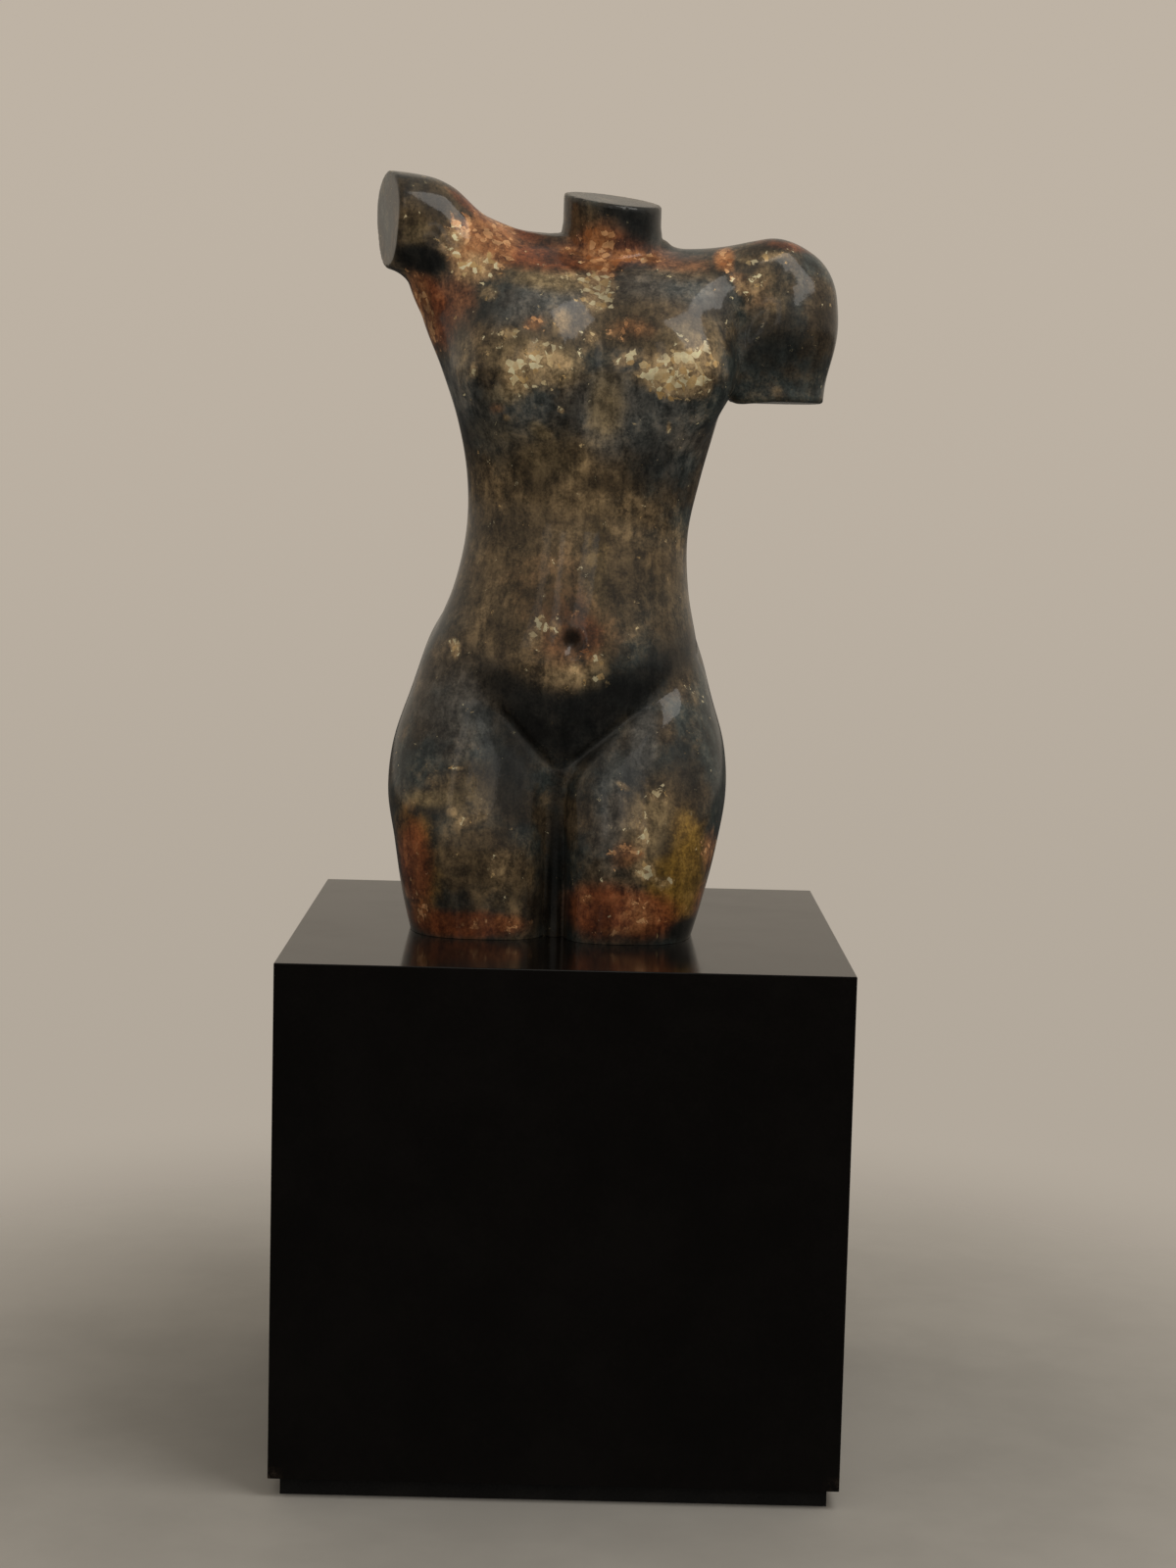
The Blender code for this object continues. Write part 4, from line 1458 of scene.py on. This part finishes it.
@dataclass
class Studio:
    """Floor, light and camera."""

    sensor: float = 36.0
    clip_start: float = 0.05
    floor_radius: float = 1.9
    floor_rings: int = 24
    floor_spokes: int = 96
    floor_fade: Span = (0.50, 1.52)
    mottle_lump: float = 0.25
    mottle_span: Span = (0.3, 0.7)
    mottle_shade: Span = (0.94, 1.05)
    wall_high: Colour = (0.515, 0.450, 0.375)
    wall_low: Colour = (0.440, 0.388, 0.325)
    floor_colour: Colour = (0.64, 0.62, 0.58)
    floor_mirrored: Colour = (0.042, 0.040, 0.037)
    floor_bounce: Colour = (0.270, 0.250, 0.215)
    room_wall: Colour = (0.42, 0.370, 0.306)
    room_front: Colour = (0.230, 0.215, 0.195)
    ceiling: Colour = (0.30, 0.275, 0.24)
    wall_span: Span = (-0.28, 0.14)
    room_span: Span = (-0.35, 0.15)
    ceiling_span: Span = (0.55, 0.85)
    floor_span: Span = (-0.06, 0.03)
    lamps: tuple[Lamp, ...] = (
        Lamp("panel", (0.96, -0.92, 2.50), (0.05, -0.05, 1.20), (1.20, 1.22), 2.45),
        Lamp("window", (-0.05, -4.20, 2.75), (0.0, 0.0, 1.0), (0.55, 2.20), 0.62),
        Lamp("side_window", (-1.22, -3.95, 2.20), (0.0, 0.0, 1.0), (0.45, 1.60), 0.40),
    )

    def add_camera(self) -> None:
        """Add the camera, where the eye is."""
        eye = Eye()
        data = bpy.data.cameras.new("camera")
        data.sensor_fit = "VERTICAL"
        data.sensor_height = self.sensor
        data.lens = eye.focal_px * self.sensor / eye.frame_px[1]
        data.clip_start = self.clip_start
        camera = bpy.data.objects.new("camera", data)
        bpy.context.scene.collection.objects.link(camera)
        across, above, ahead = eye.axes()
        turn = Matrix((across, above, -ahead)).transposed().to_4x4()
        camera.matrix_world = Matrix.Translation(eye.place) @ turn
        bpy.context.scene.camera = camera

    def add_floor(self) -> None:
        """Add a round floor that fades out into the backdrop.

        Its points lie on rings, at radius times the cosine and sine of the angle.
        """
        rings, spokes = self.floor_rings, self.floor_spokes
        radius = np.linspace(0.0, self.floor_radius, rings)[1:]
        angle = np.arange(spokes) * 2.0 * np.pi / spokes
        x = np.outer(radius, np.cos(angle)).ravel()
        y = np.outer(radius, np.sin(angle)).ravel()
        points = np.column_stack([x, y, np.zeros_like(x)])
        ring, spoke = np.meshgrid(np.arange(rings - 2), np.arange(spokes), indexing="ij")
        nxt = (spoke + 1) % spokes
        faces = np.stack([
            ring * spokes + spoke, (ring + 1) * spokes + spoke,
            (ring + 1) * spokes + nxt, ring * spokes + nxt,
        ], axis=-1).reshape(-1, 4).tolist()
        faces.append(list(range(spokes)))
        mesh = bpy.data.meshes.new("floor")
        mesh.from_pydata(points.tolist(), [], faces)
        floor = bpy.data.objects.new("floor", mesh)
        bpy.context.scene.collection.objects.link(floor)
        finish, w = new_finish("pale_floor")
        place = w.add("TexCoord").outputs["Object"]
        far = w.add("VectorMath", {0: place}, operation="LENGTH").outputs["Value"]
        mottle = w.noise(place, self.mottle_lump, 5.0, 0.6)
        shade = w.span(mottle, *self.mottle_span, *self.mottle_shade)
        colour = w.scale(self.floor_colour, shade)
        matt = w.add("BsdfDiffuse", {"Color": colour})
        clear = w.add("BsdfTransparent")
        fade = w.span(far, *self.floor_fade)
        mixed = w.add("MixShader", {0: fade, 1: matt.outputs[0], 2: clear.outputs[0]})
        w.add("OutputMaterial", {"Surface": mixed.outputs[0]})
        mesh.materials.append(finish)
        floor.visible_glossy = False
        floor.visible_diffuse = False

    def light_room(self) -> None:
        """Set up what lies all round.

        The eye sees a plain pale backdrop. As light there are a pale wall behind the
        sculpture, a dimmer room in front of it, a ceiling, and a floor that is dark where it
        is mirrored and paler where it lights matt surfaces.
        """
        world = bpy.data.worlds.new("room")
        bpy.context.scene.world = world
        world.use_nodes = True
        w = Wiring(world.node_tree)
        toward = w.add("SeparateXYZ", {0: w.add("TexCoord").outputs["Generated"]})
        height = toward.outputs[2]
        depth = toward.outputs[1]
        backdrop = w.blend(w.span(height, *self.wall_span), self.wall_low, self.wall_high)
        room = w.blend(w.span(depth, *self.room_span), self.room_front, self.room_wall)
        ceiling = w.blend(w.span(height, *self.ceiling_span), room, self.ceiling)
        path = w.add("LightPath")
        below = w.blend(path.outputs["Is Diffuse Ray"], self.floor_mirrored, self.floor_bounce)
        around = w.blend(w.span(height, *self.floor_span), below, ceiling)
        seen = path.outputs["Is Camera Ray"]
        glow = w.add("Background", {"Color": w.blend(seen, around, backdrop), "Strength": 1.0})
        w.add("OutputWorld", {"Surface": glow.outputs[0]})

    def add_lamp(self, lamp: Lamp) -> None:
        """Add a lamp.

        Its power is glow times pi times its area.

        Args:
            lamp: what it is like.
        """
        data = bpy.data.lights.new(lamp.name, "AREA")
        data.shape = "RECTANGLE"
        data.size, data.size_y = lamp.size
        data.energy = lamp.glow * math.pi * lamp.size[0] * lamp.size[1]
        data.color = lamp.colour
        lamp_object = bpy.data.objects.new(lamp.name, data)
        bpy.context.scene.collection.objects.link(lamp_object)
        lamp_object.location = lamp.place
        turn = (Vector(lamp.aim) - Vector(lamp.place)).to_track_quat("-Z", "Y")
        lamp_object.rotation_euler = turn.to_euler()
        lamp_object.visible_camera = False

    def build(self) -> None:
        """Set up the whole studio."""
        self.add_camera()
        self.add_floor()
        self.light_room()
        for lamp in self.lamps:
            self.add_lamp(lamp)
        bpy.context.scene.view_settings.view_transform = "Standard"


def main() -> None:
    """Build and dress the sculpture on its plinth and set up the studio."""
    logging.basicConfig(level=logging.INFO, format="%(message)s")
    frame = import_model()
    Studio().build()
    sculpture = TorsoSculpture()
    torso = sculpture.build("torso")
    sculpture.dress(torso)
    LOG.info("torso: %d points, %d faces", len(torso.data.vertices), len(torso.data.polygons))
    Plinth().dress(frame["nodes"])
    LOG.info("plinth box and base dressed")


if __name__ == "__main__":
    main()
